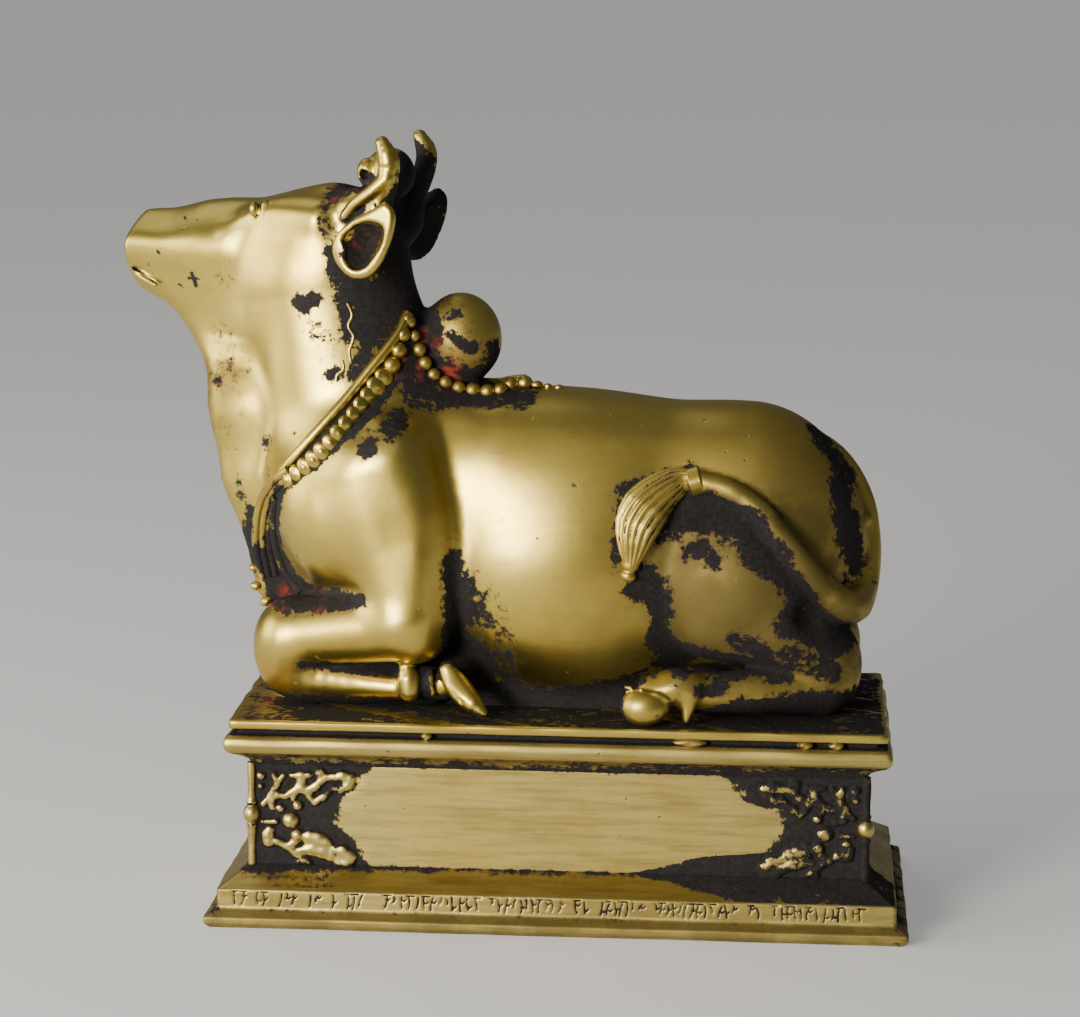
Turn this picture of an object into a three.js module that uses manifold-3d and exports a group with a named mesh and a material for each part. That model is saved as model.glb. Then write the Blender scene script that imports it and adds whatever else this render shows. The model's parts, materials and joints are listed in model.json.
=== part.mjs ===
// A recumbent nandi bull cast in brass with the thin slab it lies on, and the moulded plinth
// that the slab is soldered to. Millimetres, +Z up. The bull faces -X and its left flank faces -Y.
// The origin is at the middle of the plinth's underside.
import * as THREE from 'three';
import { mergeVertices } from 'three/addons/utils/BufferGeometryUtils.js';
import Module from 'manifold-3d';

const wasm = await Module();
wasm.setup();

// The plinth, from the floor up. A set back is measured in from the foot's outer edge.
const FOOT_LENGTH = 180;
const FOOT_DEPTH = 81;
const LIP_HEIGHT = 2.9;
const LIP_ROUND = 1.1;
const BAND_SET_BACK = 3.1;
const BAND_BOTTOM = 5.0;
const BAND_TOP = 9.4;
const WAIST_SET_BACK = 11.2;
const WAIST_BOTTOM = 14.3;
const WAIST_TOP = 40.6;
const TORUS_SET_BACK = 4.8;
const TORUS_BOTTOM = 44.6;
const TORUS_TOP = 49.4;
const NECKING_SET_BACK = 8.4;
const PLINTH_HEIGHT = 51.0;

// The slab under the bull, cast with it.
const SLAB_SET_BACK = 6.3;
const SLAB_THICKNESS = 2.4;
const SLAB_TOP = PLINTH_HEIGHT + SLAB_THICKNESS;

// The carved brackets in the waist's corners.
const ARRIS_RADIUS = 1.1;
const CORNER_BOSS_RADIUS = 2.2;
const RELIEF_HEIGHT = 1.5;
const BRACKET_REACH = 26;

// The bull stands this high over the slab, to the tips of its horns. Its forms are laid out
// in parts, FIGURE_PARTS to that height, with z counted from the slab and x from its middle.
const BULL_HEIGHT = 148;
const FIGURE_PARTS = 148;
const PART = BULL_HEIGHT / FIGURE_PARTS;

// The head is turned a little to the bull's right, about an upright line through the nape.
const HEAD_TURN = THREE.MathUtils.degToRad(-16);
const HEAD_PIVOT_X = -52;

// The figure's masses are cut off level a little below the slab's top face.
const FIGURE_BOTTOM_Z = -1.8;

// How far inside a grid corner is taken to be once it is filled.
const FILLED_CORNER = -0.4;

// Edges shorter than this are closed up. A face whose doubled area is under a limit may turn
// until the cosine between its old and new normals is this: [limit, cosine].
const SHORTEST_BULL_EDGE = 1.0;
const SHORTEST_PLINTH_EDGE = 0.35;
const LEAST_BEND = [[0.5, -0.2], [60, 0.9], [Infinity, 0.9995]];

const BRASS = { color: 0xa88f4e, roughness: 0.36, metalness: 1 };

// Distance fields: each mass is a function that tells how far a point lies outside it.

const smoothUnion = (a, b, reach) => {
  const near = Math.max(reach - Math.abs(a - b), 0) / reach;
  return Math.min(a, b) - (near * near * reach) / 4;
};

const smoothCut = (a, b, reach) => -smoothUnion(-a, b, reach);

// An ellipsoid, leaned about the Y axis by so many degrees.
function ball([cx, cy, cz], [rx, ry, rz], lean = 0) {
  const turn = THREE.MathUtils.degToRad(lean);
  const c = Math.cos(turn);
  const s = Math.sin(turn);
  return (x, y, z) => {
    const dx = x - cx;
    const dy = y - cy;
    const dz = z - cz;
    const u = c * dx - s * dz;
    const w = s * dx + c * dz;
    const k0 = Math.hypot(u / rx, dy / ry, w / rz);
    const k1 = Math.hypot(u / (rx * rx), dy / (ry * ry), w / (rz * rz));
    return k1 > 0 ? (k0 * (k0 - 1)) / k1 : -Math.min(rx, ry, rz);
  };
}

// A limb that tapers from one round end to the other, its Y width flattened by a share.
function limb([ax, ay, az], [bx, by, bz], radiusA, radiusB, flat = 1) {
  const lx = bx - ax;
  const ly = (by - ay) / flat;
  const lz = bz - az;
  const long = lx * lx + ly * ly + lz * lz;
  return (x, y, z) => {
    const px = x - ax;
    const py = (y - ay) / flat;
    const pz = z - az;
    const t = Math.min(Math.max((px * lx + py * ly + pz * lz) / long, 0), 1);
    const out = Math.hypot(px - t * lx, py - t * ly, pz - t * lz);
    return (out - (radiusA + t * (radiusB - radiusA))) * Math.min(flat, 1);
  };
}

// The bull's left half: [mass, reach of its blend]. The right half mirrors it.
const TRUNK = [
  [limb([-16, 0, 60], [47, 0, 56.5], 22.3, 21, 0.95), 8],
  [ball([2, 0, 39.5], [43, 29, 38.5]), 8],
  [ball([46, 0, 42], [33, 25, 34]), 8],
  [ball([-44, 0, 50], [33, 22, 33]), 8],
  [ball([4, 0, 0], [50, 13, 12]), 4],
  [ball([-40, 0, 12], [32, 13, 20]), 5],
  [limb([-66, 0, 36], [-58, 0, 8], 7, 7), 3],
];

const NECK = [
  [limb([-52, 0, 64], [-61, 0, 108], 27, 20.5, 0.66), 9],
  [limb([-83.5, 0, 74], [-81.5, 0, 58], 6.3, 6.3, 0.5), 7],
  [limb([-81.5, 0, 58], [-77.5, 0, 33], 6.3, 6, 0.55), 6],
];

const FORELEG = [
  [ball([-53, -12.5, 52], [20.5, 14.8, 22.5]), 4],
  [limb([-47, -14.5, 62], [-39.5, -20, 25.5], 15, 10.3), 5],
  [limb([-42, -20, 23.2], [-70, -13, 18], 10, 8.4), 2.5],
  [ball([-70, -12, 14.2], [10.4, 8.6, 13.4]), 3],
];

const HIND_LEG = [
  [ball([45, -16, 35.5], [20.5, 15, 20.5]), 2.5],
  [limb([56, -16.5, 25], [66, -13, 15], 11.5, 9.8), 4],
  [ball([67.5, -12.5, 12], [9.4, 8.4, 12.4]), 3],
];

const HUMP = [
  [ball([-27.2, 0, 94.4], [10.2, 9.6, 11.6], -8), 3],
];

// The head is laid out facing straight ahead, and turned afterwards.
const HEAD = [
  [limb([-111.5, 0, 115.5], [-92, 0, 115.2], 9.9, 12.2, 0.84), 5],
  [limb([-92, 0, 115.2], [-61, 0, 116.8], 12.2, 16.2, 0.8), 6],
  [limb([-107, 0, 108.8], [-79, 0, 100.5], 6.8, 13.5, 0.8), 6],
  [limb([-94, 0, 97], [-86, 0, 80], 7.8, 7, 0.7), 8],
  [ball([-46.6, 0, 136], [6.3, 5.4, 6.4]), 2.5],
  [ball([-50, -8, 128], [6.5, 6.5, 6]), 4],
];
const MUZZLE_FRONT_X = -119;


const distance = (masses, x, y, z, start) =>
  masses.reduce((d, [mass, reach]) => smoothUnion(d, mass(x, y, z), reach), start);

// The hollows that part one form from the next.
const CREASES = [
  [limb([-25.5, -32, 60], [-24, -30, 14], 1.4, 3.4), 7],
  [limb([-68, -24, 28.6], [-50, -29, 30.6], 1.3, 1.1), 1.6],
  [limb([22.5, -33, 54], [23, -30, 16], 1.6, 3.6), 6],
  [ball([67, -27, 28], [7, 6, 5]), 3],
];

function headDistance(x, y, z) {
  const dx = x - HEAD_PIVOT_X;
  const c = Math.cos(HEAD_TURN);
  const s = Math.sin(HEAD_TURN);
  const hx = HEAD_PIVOT_X + dx * c + y * s;
  const hy = -Math.abs(y * c - dx * s);
  const whole = distance(HEAD, hx, hy, z, Infinity);
  return smoothCut(whole, hx - MUZZLE_FRONT_X, 2.5);
}

function figure(x, y, z) {
  const side = -Math.abs(y);
  let d = distance([...TRUNK, ...FORELEG, ...HIND_LEG], x, side, z, Infinity);
  d = distance([...NECK, ...HUMP], x, side, z, d);
  d = smoothUnion(d, headDistance(x, y, z), 7);
  for (const [hollow, reach] of CREASES) d = smoothCut(d, hollow(x, side, z), reach);
  return Math.max(d, FIGURE_BOTTOM_Z - z);
}

// Evenly stepped lines between stops: [start, step, next start, step, ..., end].
function gridLines(...stops) {
  const lines = [stops[0]];
  for (let i = 0; i + 2 < stops.length; i += 2) {
    const [from, step, to] = stops.slice(i, i + 3);
    const count = Math.round((to - from) / step);
    for (let n = 1; n <= count; n += 1) lines.push(from + ((to - from) * n) / count);
  }
  return lines;
}

// Draws one point of a list straight onto the surface, along the field's slope.
function drawOnto(field, points, n) {
  const step = 0.05;
  for (let round = 0; round < 2; round += 1) {
    const [x, y, z] = points.slice(n, n + 3);
    const here = field(x, y, z);
    const slope = [
      (field(x + step, y, z) - here) / step,
      (field(x, y + step, z) - here) / step,
      (field(x, y, z + step) - here) / step,
    ];
    const steepness = Math.max(slope[0] ** 2 + slope[1] ** 2 + slope[2] ** 2, 0.2);
    const move = Math.min(Math.max(here / steepness, -1), 1);
    slope.forEach((part, axis) => {
      points[n + axis] -= part * move;
    });
  }
}

const gap = (points, a, b) => Math.hypot(
  points[3 * a] - points[3 * b],
  points[3 * a + 1] - points[3 * b + 1],
  points[3 * a + 2] - points[3 * b + 2],
);

// Fills single grid corners until no grid face has its two diagonals on opposite sides of the
// surface, so that no edge of the surface is shared by four faces.
function settle(value, [nx, ny, nz]) {
  const strides = [1, nx, nx * ny];
  for (let changed = true; changed;) {
    changed = false;
    for (let n = 0; n < value.length; n += 1) {
      const place = [n % nx, Math.floor(n / nx) % ny, Math.floor(n / (nx * ny))];
      const open = [nx, ny, nz].map((count, axis) => place[axis] + 1 < count);
      for (const [p, q] of [[0, 1], [1, 2], [2, 0]]) {
        if (!open[p] || !open[q]) continue;
        const [a, b, c, d] = [n, n + strides[p], n + strides[p] + strides[q], n + strides[q]];
        const [sa, sb, sc, sd] = [a, b, c, d].map((corner) => value[corner] < 0);
        if (sa !== sc || sb !== sd || sa === sb) continue;
        const [e, f] = sa ? [b, d] : [a, c];
        value[value[e] < value[f] ? e : f] = FILLED_CORNER;
        changed = true;
      }
    }
  }
}

// The surface where the field is zero: one point in each cell that it crosses, and a quad
// about each grid edge that it crosses.
function surfaceOf(field, xs, ys, zs) {
  const [nx, ny, nz] = [xs.length, ys.length, zs.length];
  const at = (i, j, k) => (k * ny + j) * nx + i;
  const value = new Float64Array(nx * ny * nz);
  for (let k = 0; k < nz; k += 1)
    for (let j = 0; j < ny; j += 1)
      for (let i = 0; i < nx; i += 1) value[at(i, j, k)] = field(xs[i], ys[j], zs[k]);
  settle(value, [nx, ny, nz]);
  const points = [];
  const cell = new Map();
  const corners = [0, 1, 2, 3, 4, 5, 6, 7].map((n) => [n & 1, (n >> 1) & 1, n >> 2]);
  for (let k = 0; k + 1 < nz; k += 1)
    for (let j = 0; j + 1 < ny; j += 1)
      for (let i = 0; i + 1 < nx; i += 1) {
        const v = corners.map(([a, b, c]) => value[at(i + a, j + b, k + c)]);
        const inside = v.filter((w) => w < 0).length;
        if (inside === 0 || inside === 8) continue;
        const sum = new THREE.Vector3();
        let crossings = 0;
        for (let n = 0; n < 8; n += 1)
          for (const bit of [1, 2, 4]) {
            const m = n | bit;
            if (m === n || v[n] < 0 === v[m] < 0) continue;
            const t = v[n] / (v[n] - v[m]);
            const [a, b, c] = corners[n];
            const [d, e, f] = corners[m];
            sum.x += xs[i + a] + t * (xs[i + d] - xs[i + a]);
            sum.y += ys[j + b] + t * (ys[j + e] - ys[j + b]);
            sum.z += zs[k + c] + t * (zs[k + f] - zs[k + c]);
            crossings += 1;
          }
        cell.set(at(i, j, k), points.length / 3);
        points.push(sum.x / crossings, sum.y / crossings, sum.z / crossings);
      }
  for (let n = 0; n < points.length; n += 3) drawOnto(field, points, n);
  const index = [];
  const around = [
    [[1, 0, 0], [0, 1, 0], [0, 0, 1]],
    [[0, 1, 0], [0, 0, 1], [1, 0, 0]],
    [[0, 0, 1], [1, 0, 0], [0, 1, 0]],
  ];
  for (let k = 0; k + 1 < nz; k += 1)
    for (let j = 0; j + 1 < ny; j += 1)
      for (let i = 0; i + 1 < nx; i += 1)
        for (const [e, p, q] of around) {
          const here = value[at(i, j, k)] < 0;
          if (here === value[at(i + e[0], j + e[1], k + e[2])] < 0) continue;
          const quad = [[0, 0], [1, 0], [1, 1], [0, 1]].map(([a, b]) =>
            cell.get(at(i - a * p[0] - b * q[0], j - a * p[1] - b * q[1], k - a * p[2] - b * q[2])));
          const [a, b, c, d] = here ? quad : quad.reverse();
          if (gap(points, a, c) < gap(points, b, d)) index.push(a, b, c, a, c, d);
          else index.push(b, c, d, b, d, a);
        }
  const geometry = new THREE.BufferGeometry();
  geometry.setAttribute('position', new THREE.Float32BufferAttribute(points, 3));
  geometry.setIndex(index);
  return geometry;
}

// A three.js geometry as a solid that can be joined and cut.
function solid(geometry) {
  const bare = new THREE.BufferGeometry();
  bare.setAttribute('position', geometry.attributes.position);
  bare.setIndex(geometry.index);
  const merged = mergeVertices(bare, 1e-5);
  return new wasm.Manifold(new wasm.Mesh({
    numProp: 3,
    vertProperties: merged.attributes.position.array,
    triVerts: new Uint32Array(merged.index.array),
  }));
}

const joined = (geometries) => geometries.map(solid).reduce((whole, next) => whole.add(next));

// The same piece on the other side of the bull, its faces still turned outward.
function mirrored(geometry) {
  const other = geometry.clone();
  if (!other.index) other.setIndex([...Array(other.attributes.position.count).keys()]);
  other.scale(1, -1, 1);
  const faces = other.index.array;
  for (let i = 0; i < faces.length; i += 3) [faces[i], faces[i + 1]] = [faces[i + 1], faces[i]];
  return other;
}

// A solid's surface with its shortest edges closed up, where that folds no face over.
function tidied(shape, shortest) {
  const mesh = shape.getMesh();
  const points = [];
  for (let n = 0; n < mesh.vertProperties.length; n += 3) {
    points.push(new THREE.Vector3(...mesh.vertProperties.slice(n, n + 3)));
  }
  const faces = [];
  const facesAt = points.map(() => new Set());
  for (let n = 0; n < mesh.triVerts.length; n += 3) {
    const face = [...mesh.triVerts.slice(n, n + 3)];
    for (const v of face) facesAt[v].add(faces.length);
    faces.push(face);
  }
  const cross = (a, b, c) => b.clone().sub(a).cross(c.clone().sub(a));
  const neighbours = (v) => new Set([...facesAt[v]].flatMap((f) => faces[f]).filter((w) => w !== v));
  const mayClose = (gone, kept) => {
    const shared = [...neighbours(gone)].filter((w) => neighbours(kept).has(w));
    if (shared.length !== 2) return false;
    return [...facesAt[gone]].filter((f) => !faces[f].includes(kept)).every((f) => {
      const before = cross(...faces[f].map((v) => points[v]));
      const after = cross(...faces[f].map((v) => points[v === gone ? kept : v]));
      if (after.length() < 1e-3) return false;
      const bend = after.clone().normalize().dot(before.clone().normalize());
      return bend > LEAST_BEND.find(([size]) => before.length() < size)[1];
    });
  };
  const close = (gone, kept) => {
    for (const f of facesAt[gone]) {
      if (faces[f].includes(kept)) {
        for (const v of faces[f]) if (v !== gone) facesAt[v].delete(f);
        faces[f] = null;
      } else {
        faces[f] = faces[f].map((v) => (v === gone ? kept : v));
        facesAt[kept].add(f);
      }
    }
    facesAt[gone].clear();
  };
  for (let closed = 1; closed > 0;) {
    closed = 0;
    const short = [];
    faces.forEach((face) => face?.forEach((a, n) => {
      const b = face[(n + 1) % 3];
      const length = points[a].distanceTo(points[b]);
      if (a < b && length < shortest) short.push([length, a, b]);
    }));
    for (const [, a, b] of short.sort((e, f) => e[0] - f[0])) {
      if (!neighbours(a).has(b)) continue;
      const order = [[a, b], [b, a]].find(([gone, kept]) => mayClose(gone, kept));
      if (!order) continue;
      close(...order);
      closed += 1;
    }
  }
  const geometry = new THREE.BufferGeometry();
  geometry.setAttribute('position', new THREE.Float32BufferAttribute(points.flatMap((v) => v.toArray()), 3));
  geometry.setIndex(faces.filter(Boolean).flat());
  return geometry;
}

// A round bar along a smooth curve through the points, its radius read off along its length.
function bar(points, radii, sides, steps) {
  const curve = new THREE.CatmullRomCurve3(points.map((p) => new THREE.Vector3(...p)));
  const { normals, binormals } = curve.computeFrenetFrames(steps, false);
  const positions = [];
  for (let i = 0; i <= steps; i += 1) {
    const along = (i / steps) * (radii.length - 1);
    const low = Math.min(Math.floor(along), radii.length - 2);
    const radius = THREE.MathUtils.lerp(radii[low], radii[low + 1], along - low);
    const centre = curve.getPointAt(i / steps);
    for (let s = 0; s < sides; s += 1) {
      const angle = (2 * Math.PI * s) / sides;
      const p = centre.clone()
        .addScaledVector(normals[i], radius * Math.cos(angle))
        .addScaledVector(binormals[i], radius * Math.sin(angle));
      positions.push(p.x, p.y, p.z);
    }
  }
  positions.push(...curve.getPointAt(0).toArray(), ...curve.getPointAt(1).toArray());
  const first = (steps + 1) * sides;
  const index = [];
  for (let s = 0; s < sides; s += 1) {
    const next = (s + 1) % sides;
    for (let i = 0; i < steps; i += 1) {
      const [a, b] = [i * sides + s, i * sides + next];
      const [c, d] = [a + sides, b + sides];
      index.push(a, b, d, a, d, c);
    }
    index.push(first, next, s, first + 1, steps * sides + s, steps * sides + next);
  }
  const geometry = new THREE.BufferGeometry();
  geometry.setAttribute('position', new THREE.Float32BufferAttribute(positions, 3));
  geometry.setIndex(index);
  return geometry;
}

// A bead of few faces, stretched to the sizes given.
function bead([x, y, z], [rx, ry, rz]) {
  return new THREE.IcosahedronGeometry(1, 0).scale(rx, ry, rz).translate(x, y, z);
}

// Where the left flank lies at a place in profile: the smallest y whose field is still inside.
function flankY(x, z) {
  let [out, inside] = [-60, 0];
  for (let i = 0; i < 30; i += 1) {
    const middle = (out + inside) / 2;
    if (figure(x, middle, z) < 0) inside = middle;
    else out = middle;
  }
  return out;
}

// Points set at equal steps along a line drawn in profile, laid on the left flank.
function onFlank(profile, count, standOff = 0) {
  const line = new THREE.CatmullRomCurve3(profile.map(([x, z]) => new THREE.Vector3(x, 0, z)));
  return line.getSpacedPoints(count - 1).map(({ x, z }) => [x, flankY(x, z) - standOff, z]);
}

// Horns that rise from the poll and bend forward at their tips.
const HORN_LINE = [[-45.5, -10.2, 127], [-43, -11.6, 134], [-40.9, -12.6, 141], [-42.6, -12.4, 147]];
const HORN_RADII = [4.4, 3.2, 2.7, 2.3, 1.2];

// The lower legs, folded under: each is [line, radii at equal steps along it].
const LOWER_LEGS = [
  [[[-68, -12.4, 7.6], [-56, -15, 7], [-42, -17.8, 6.4], [-36.5, -20, 8.6]], [7.2, 6, 5.2, 5.2]],
  [[[-39, -19.6, 9.6], [-33, -21.3, 10.4], [-28.6, -22.6, 9.8], [-20.4, -26, 2.2]], [4.6, 4, 4.6, 1.8]],
  [[[66, -13.4, 8], [52, -18.5, 7], [38, -23, 6.8], [29, -27.5, 8.6]], [7.4, 6, 5.2, 5.4]],
  [[[33.5, -27, 8], [33, -29.5, 0.5]], [2.4, 1.8]],
];
const HIND_HOOF = [[22.6, -30, 5.4], [7.2, 5.6, 5.8]];

function lowerLegs() {
  const hoof = new THREE.IcosahedronGeometry(1, 1).scale(...HIND_HOOF[1]).translate(...HIND_HOOF[0]);
  const left = [...LOWER_LEGS.map(([line, radii]) => bar(line, radii, 7, line.length)), hoof];
  return [...left, ...left.map(mirrored)];
}

// A leaf-shaped ear: a shallow cup that opens outward and leans back at its tip.
const EAR_CENTRE = [-45.3, -18.5, 122];
const EAR_LENGTH = 22;
const EAR_WIDTH = 14.5;
const EAR_DEPTH = 6;
const EAR_LEAN = THREE.MathUtils.degToRad(31);
const EAR_ROOT = [[-50, -8, 121], [-46.5, -16, 121]];
const EAR_ROOT_RADII = [4.2, 3.6];
const EAR_CUP = [[0, -1], [0.68, -0.68], [1, 0], [0.84, 0.08], [0.45, -0.36], [0, -0.5]];

function earGeometry() {
  const ear = new THREE.LatheGeometry(EAR_CUP.map(([r, h]) => new THREE.Vector2(r, h)), 11);
  ear.scale(EAR_WIDTH / 2, EAR_DEPTH, EAR_LENGTH / 2).rotateX(Math.PI).rotateY(EAR_LEAN);
  return ear.translate(...EAR_CENTRE);
}

const EYE_CENTRE = [-78.8, -8, 126.4];
const EYE_SIZE = [2.3, 2, 2.3];

function headPieces() {
  const ear = earGeometry();
  const root = bar(EAR_ROOT, EAR_ROOT_RADII, 7, 1);
  const left = [bar(HORN_LINE, HORN_RADII, 7, 6), ear, root, bead(EYE_CENTRE, EYE_SIZE)];
  const pieces = [...left, ...left.map(mirrored)];
  for (const piece of pieces) {
    piece.translate(-HEAD_PIVOT_X, 0, 0).rotateZ(HEAD_TURN).translate(HEAD_PIVOT_X, 0, 0);
  }
  return pieces;
}

// The tail drops behind the rump, curls under it and comes forward over the left thigh.
const TAIL_DROP = [[56, 0, 72], [69, 0, 65.5], [76.5, 0, 54], [78.4, -1, 42], [77, -6, 32], [73, -17, 29]];
const TAIL_PROFILE = [[66.5, 34.5], [61.7, 40.9], [55, 49.4], [48.3, 56.7], [40.7, 60.7], [33.9, 62.1]];
const TAIL_RADII = [2.6, 3, 3, 3, 3.6, 4.6, 4.2, 3.5, 3.1, 2.8, 2.6];
const TAIL_STAND_OFF = 1.6;
const TUFT_PROFILE = [[31, 61.5], [24.7, 56.6], [20.3, 48.8], [17.5, 39.3]];
const TUFT_RADII = [2.4, 5, 5.6, 4.2, 2];
const TUFT_STAND_OFF = 0.6;

function tailPieces() {
  const overThigh = onFlank(TAIL_PROFILE, 6, TAIL_STAND_OFF);
  const tuft = onFlank(TUFT_PROFILE, 5, TUFT_STAND_OFF);
  const [ringX, ringY, ringZ] = overThigh.at(-1);
  const ring = [[ringX + 2, ringY, ringZ + 0.6], [ringX - 1.4, ringY, ringZ - 0.9]];
  return [
    bar([...TAIL_DROP, ...overThigh], TAIL_RADII, 6, 20),
    bar([overThigh.at(-1), ...tuft], TUFT_RADII, 7, 6),
    bar(ring, [3.4, 3.4], 8, 1),
  ];
}

// The garland from the nape to the breast: a plain cord, beads beside it and bells at its foot.
const GARLAND_PROFILE = [[-40, 101.6], [-43.2, 90], [-48.7, 82.2], [-54.9, 74], [-63, 65.5], [-72.9, 56], [-77.5, 45], [-78, 34]];
const CORD_PROFILE = [[-42, 98.6], [-50.3, 86.4], [-60.5, 75.6], [-71, 63.1]];
const GARLAND_BEADS = 18;
const GARLAND_BEAD = [2.5, 2.2, 2.6];
const CORD_RADIUS = 1.4;
const BELLS = [[-81.6, -2.5, 34.5], [-81, -1.5, 30], [-79.2, -0.5, 26]];
const BELL_SIZE = [2.6, 2.6, 2.9];

// The strand about the foot of the hump.
const STRAND_PROFILE = [[-39.7, 99.1], [-36.6, 90.9], [-34.7, 86.9], [-30.9, 83.5], [-26.7, 82], [-21, 81.1], [-16.8, 81.9]];
const STRAND_BEADS = 9;
const STRAND_BEAD = [2.3, 2.3, 2.3];
const FAR_SIDE_CORD_RADIUS = 1.9;

// Beads are modelled on the left side. The right side, turned from view, wears plain cords.
function ornaments() {
  const cord = (profile, count, radius) => bar(onFlank(profile, count), [radius, radius], 5, count);
  return [
    ...onFlank(GARLAND_PROFILE, GARLAND_BEADS).map((p) => bead(p, GARLAND_BEAD)),
    ...onFlank(STRAND_PROFILE, STRAND_BEADS).map((p) => bead(p, STRAND_BEAD)),
    ...BELLS.map((p) => bead(p, BELL_SIZE)),
    cord(CORD_PROFILE, 7, CORD_RADIUS),
    mirrored(cord(GARLAND_PROFILE, 9, FAR_SIDE_CORD_RADIUS)),
    mirrored(cord(STRAND_PROFILE, 6, FAR_SIDE_CORD_RADIUS)),
  ];
}

// Grid lines for the body: close at the face, the legs and the hump, wide over the flanks.
const GRID_X = gridLines(-124.5, 3.8, -60, 5.2, -18, 7.5, 14, 6, 38, 7.5, 60, 5, 90);
const GRID_Y = gridLines(-36.8, 4.6, 36.8);
const GRID_Z = gridLines(-4, 4.4, 36, 7.2, 82, 4.5, 150);

function bullSolid() {
  const body = surfaceOf(figure, GRID_X, GRID_Y, GRID_Z);
  const pieces = [body, ...lowerLegs(), ...headPieces(), ...tailPieces(), ...ornaments()];
  for (const piece of pieces) piece.scale(PART, PART, PART);
  const room = new THREE.BoxGeometry(4 * FOOT_LENGTH, 4 * FOOT_LENGTH, 4 * FOOT_LENGTH)
    .translate(0, 0, 2 * FOOT_LENGTH - SLAB_THICKNESS / 2);
  const slab = new THREE.BoxGeometry(
    FOOT_LENGTH - 2 * SLAB_SET_BACK,
    FOOT_DEPTH - 2 * SLAB_SET_BACK,
    SLAB_THICKNESS,
  ).translate(0, 0, -SLAB_THICKNESS / 2);
  return joined(pieces).intersect(solid(room)).add(solid(slab));
}

// A moulding that runs round the plinth with mitred corners, from its [set back, height] outline.
function moulding(outline) {
  const positions = [];
  for (const [setBack, z] of outline) {
    const [x, y] = [FOOT_LENGTH / 2 - setBack, FOOT_DEPTH / 2 - setBack];
    positions.push(-x, -y, z, x, -y, z, x, y, z, -x, y, z);
  }
  const index = [0, 2, 1, 0, 3, 2];
  for (let ring = 0; ring + 1 < outline.length; ring += 1)
    for (let side = 0; side < 4; side += 1) {
      const [a, b] = [ring * 4 + side, ring * 4 + ((side + 1) % 4)];
      index.push(a, b, b + 4, a, b + 4, a + 4);
    }
  const top = (outline.length - 1) * 4;
  index.push(top, top + 1, top + 2, top, top + 2, top + 3);
  const geometry = new THREE.BufferGeometry();
  geometry.setAttribute('position', new THREE.Float32BufferAttribute(positions, 3));
  geometry.setIndex(index);
  return geometry;
}

// A quarter or half round between two outline points, bulging out or in.
function arc([setBackA, zA], [setBackB, zB], bulge, steps) {
  const points = [];
  for (let i = 0; i <= steps; i += 1) {
    const t = i / steps;
    const swell = bulge * Math.sin(Math.PI * t);
    points.push([setBackA + t * (setBackB - setBackA) - swell, zA + t * (zB - zA)]);
  }
  return points;
}

function plinthOutline() {
  return [
    [LIP_ROUND, 0],
    ...arc([0, LIP_ROUND], [0, LIP_HEIGHT], 0, 1),
    ...arc([LIP_ROUND, LIP_HEIGHT + 0.5], [BAND_SET_BACK, BAND_BOTTOM], -0.35, 2),
    [BAND_SET_BACK, BAND_TOP],
    [WAIST_SET_BACK, WAIST_BOTTOM],
    ...arc([WAIST_SET_BACK, WAIST_TOP], [TORUS_SET_BACK + 1.2, TORUS_BOTTOM], -1.3, 4),
    ...arc([TORUS_SET_BACK + 0.4, TORUS_BOTTOM + 0.9], [TORUS_SET_BACK + 0.4, TORUS_TOP - 0.8], 0.4, 2),
    [TORUS_SET_BACK + 1.6, TORUS_TOP],
    [NECKING_SET_BACK, TORUS_TOP + 0.1],
    [NECKING_SET_BACK, PLINTH_HEIGHT],
  ];
}

// One bracket, drawn on the waist's face from its corner: along is measured in from the
// arris and up from the middle of the waist's height. Each arm ends in a leaf.
const BRACKET_BEADS = [[11, 3.2, 1.7], [9.4, 0, 2.4], [11.2, -4.4, 2]];
const BRACKET_ARMS = [
  [[3, 1.5], [6, 6], [12, 5.6], [17, 5.6], [20, 9.5], [BRACKET_REACH - 1, 10.4]],
  [[2.5, -3.2], [6, -6.6], [12, -9], [17, -7.4], [22, -9], [BRACKET_REACH, -12]],
];
const BRACKET_ARM_RADII = [1.0, 1.1, 1.3, 1.5, 1.9, 1.2];

function cornerPieces(sideX, sideY) {
  const [cornerX, faceY] = [FOOT_LENGTH / 2 - WAIST_SET_BACK, FOOT_DEPTH / 2 - WAIST_SET_BACK];
  const middle = (WAIST_BOTTOM + WAIST_TOP) / 2;
  const place = (along, up, out = 0) => [sideX * (cornerX - along), sideY * (faceY + out), middle + up];
  const beads = BRACKET_BEADS.map(([along, up, r]) => bead(place(along, up), [r, RELIEF_HEIGHT, r * 1.15]));
  const arms = BRACKET_ARMS.map((line) => bar(line.map(([a, u]) => place(a, u)), BRACKET_ARM_RADII, 5, 7));
  const carved = sideY < 0 ? [...beads, ...arms] : [];
  const boss = bead(place(0, 0), [CORNER_BOSS_RADIUS, CORNER_BOSS_RADIUS, CORNER_BOSS_RADIUS * 1.1]);
  const arris = bar([place(0, WAIST_BOTTOM - middle), place(0, WAIST_TOP - middle)], [ARRIS_RADIUS, ARRIS_RADIUS], 6, 1);
  return [...carved, boss, arris];
}

function plinthSolid() {
  const shapes = [moulding(plinthOutline())];
  for (const sideX of [-1, 1]) for (const sideY of [-1, 1]) shapes.push(...cornerPieces(sideX, sideY));
  return joined(shapes);
}

function namedMesh(name, shape, shortestEdge, z) {
  const geometry = tidied(shape, shortestEdge).toNonIndexed();
  geometry.computeVertexNormals();
  const mesh = new THREE.Mesh(geometry, new THREE.MeshStandardMaterial(BRASS));
  mesh.name = name;
  mesh.position.z = z;
  return mesh;
}

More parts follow.
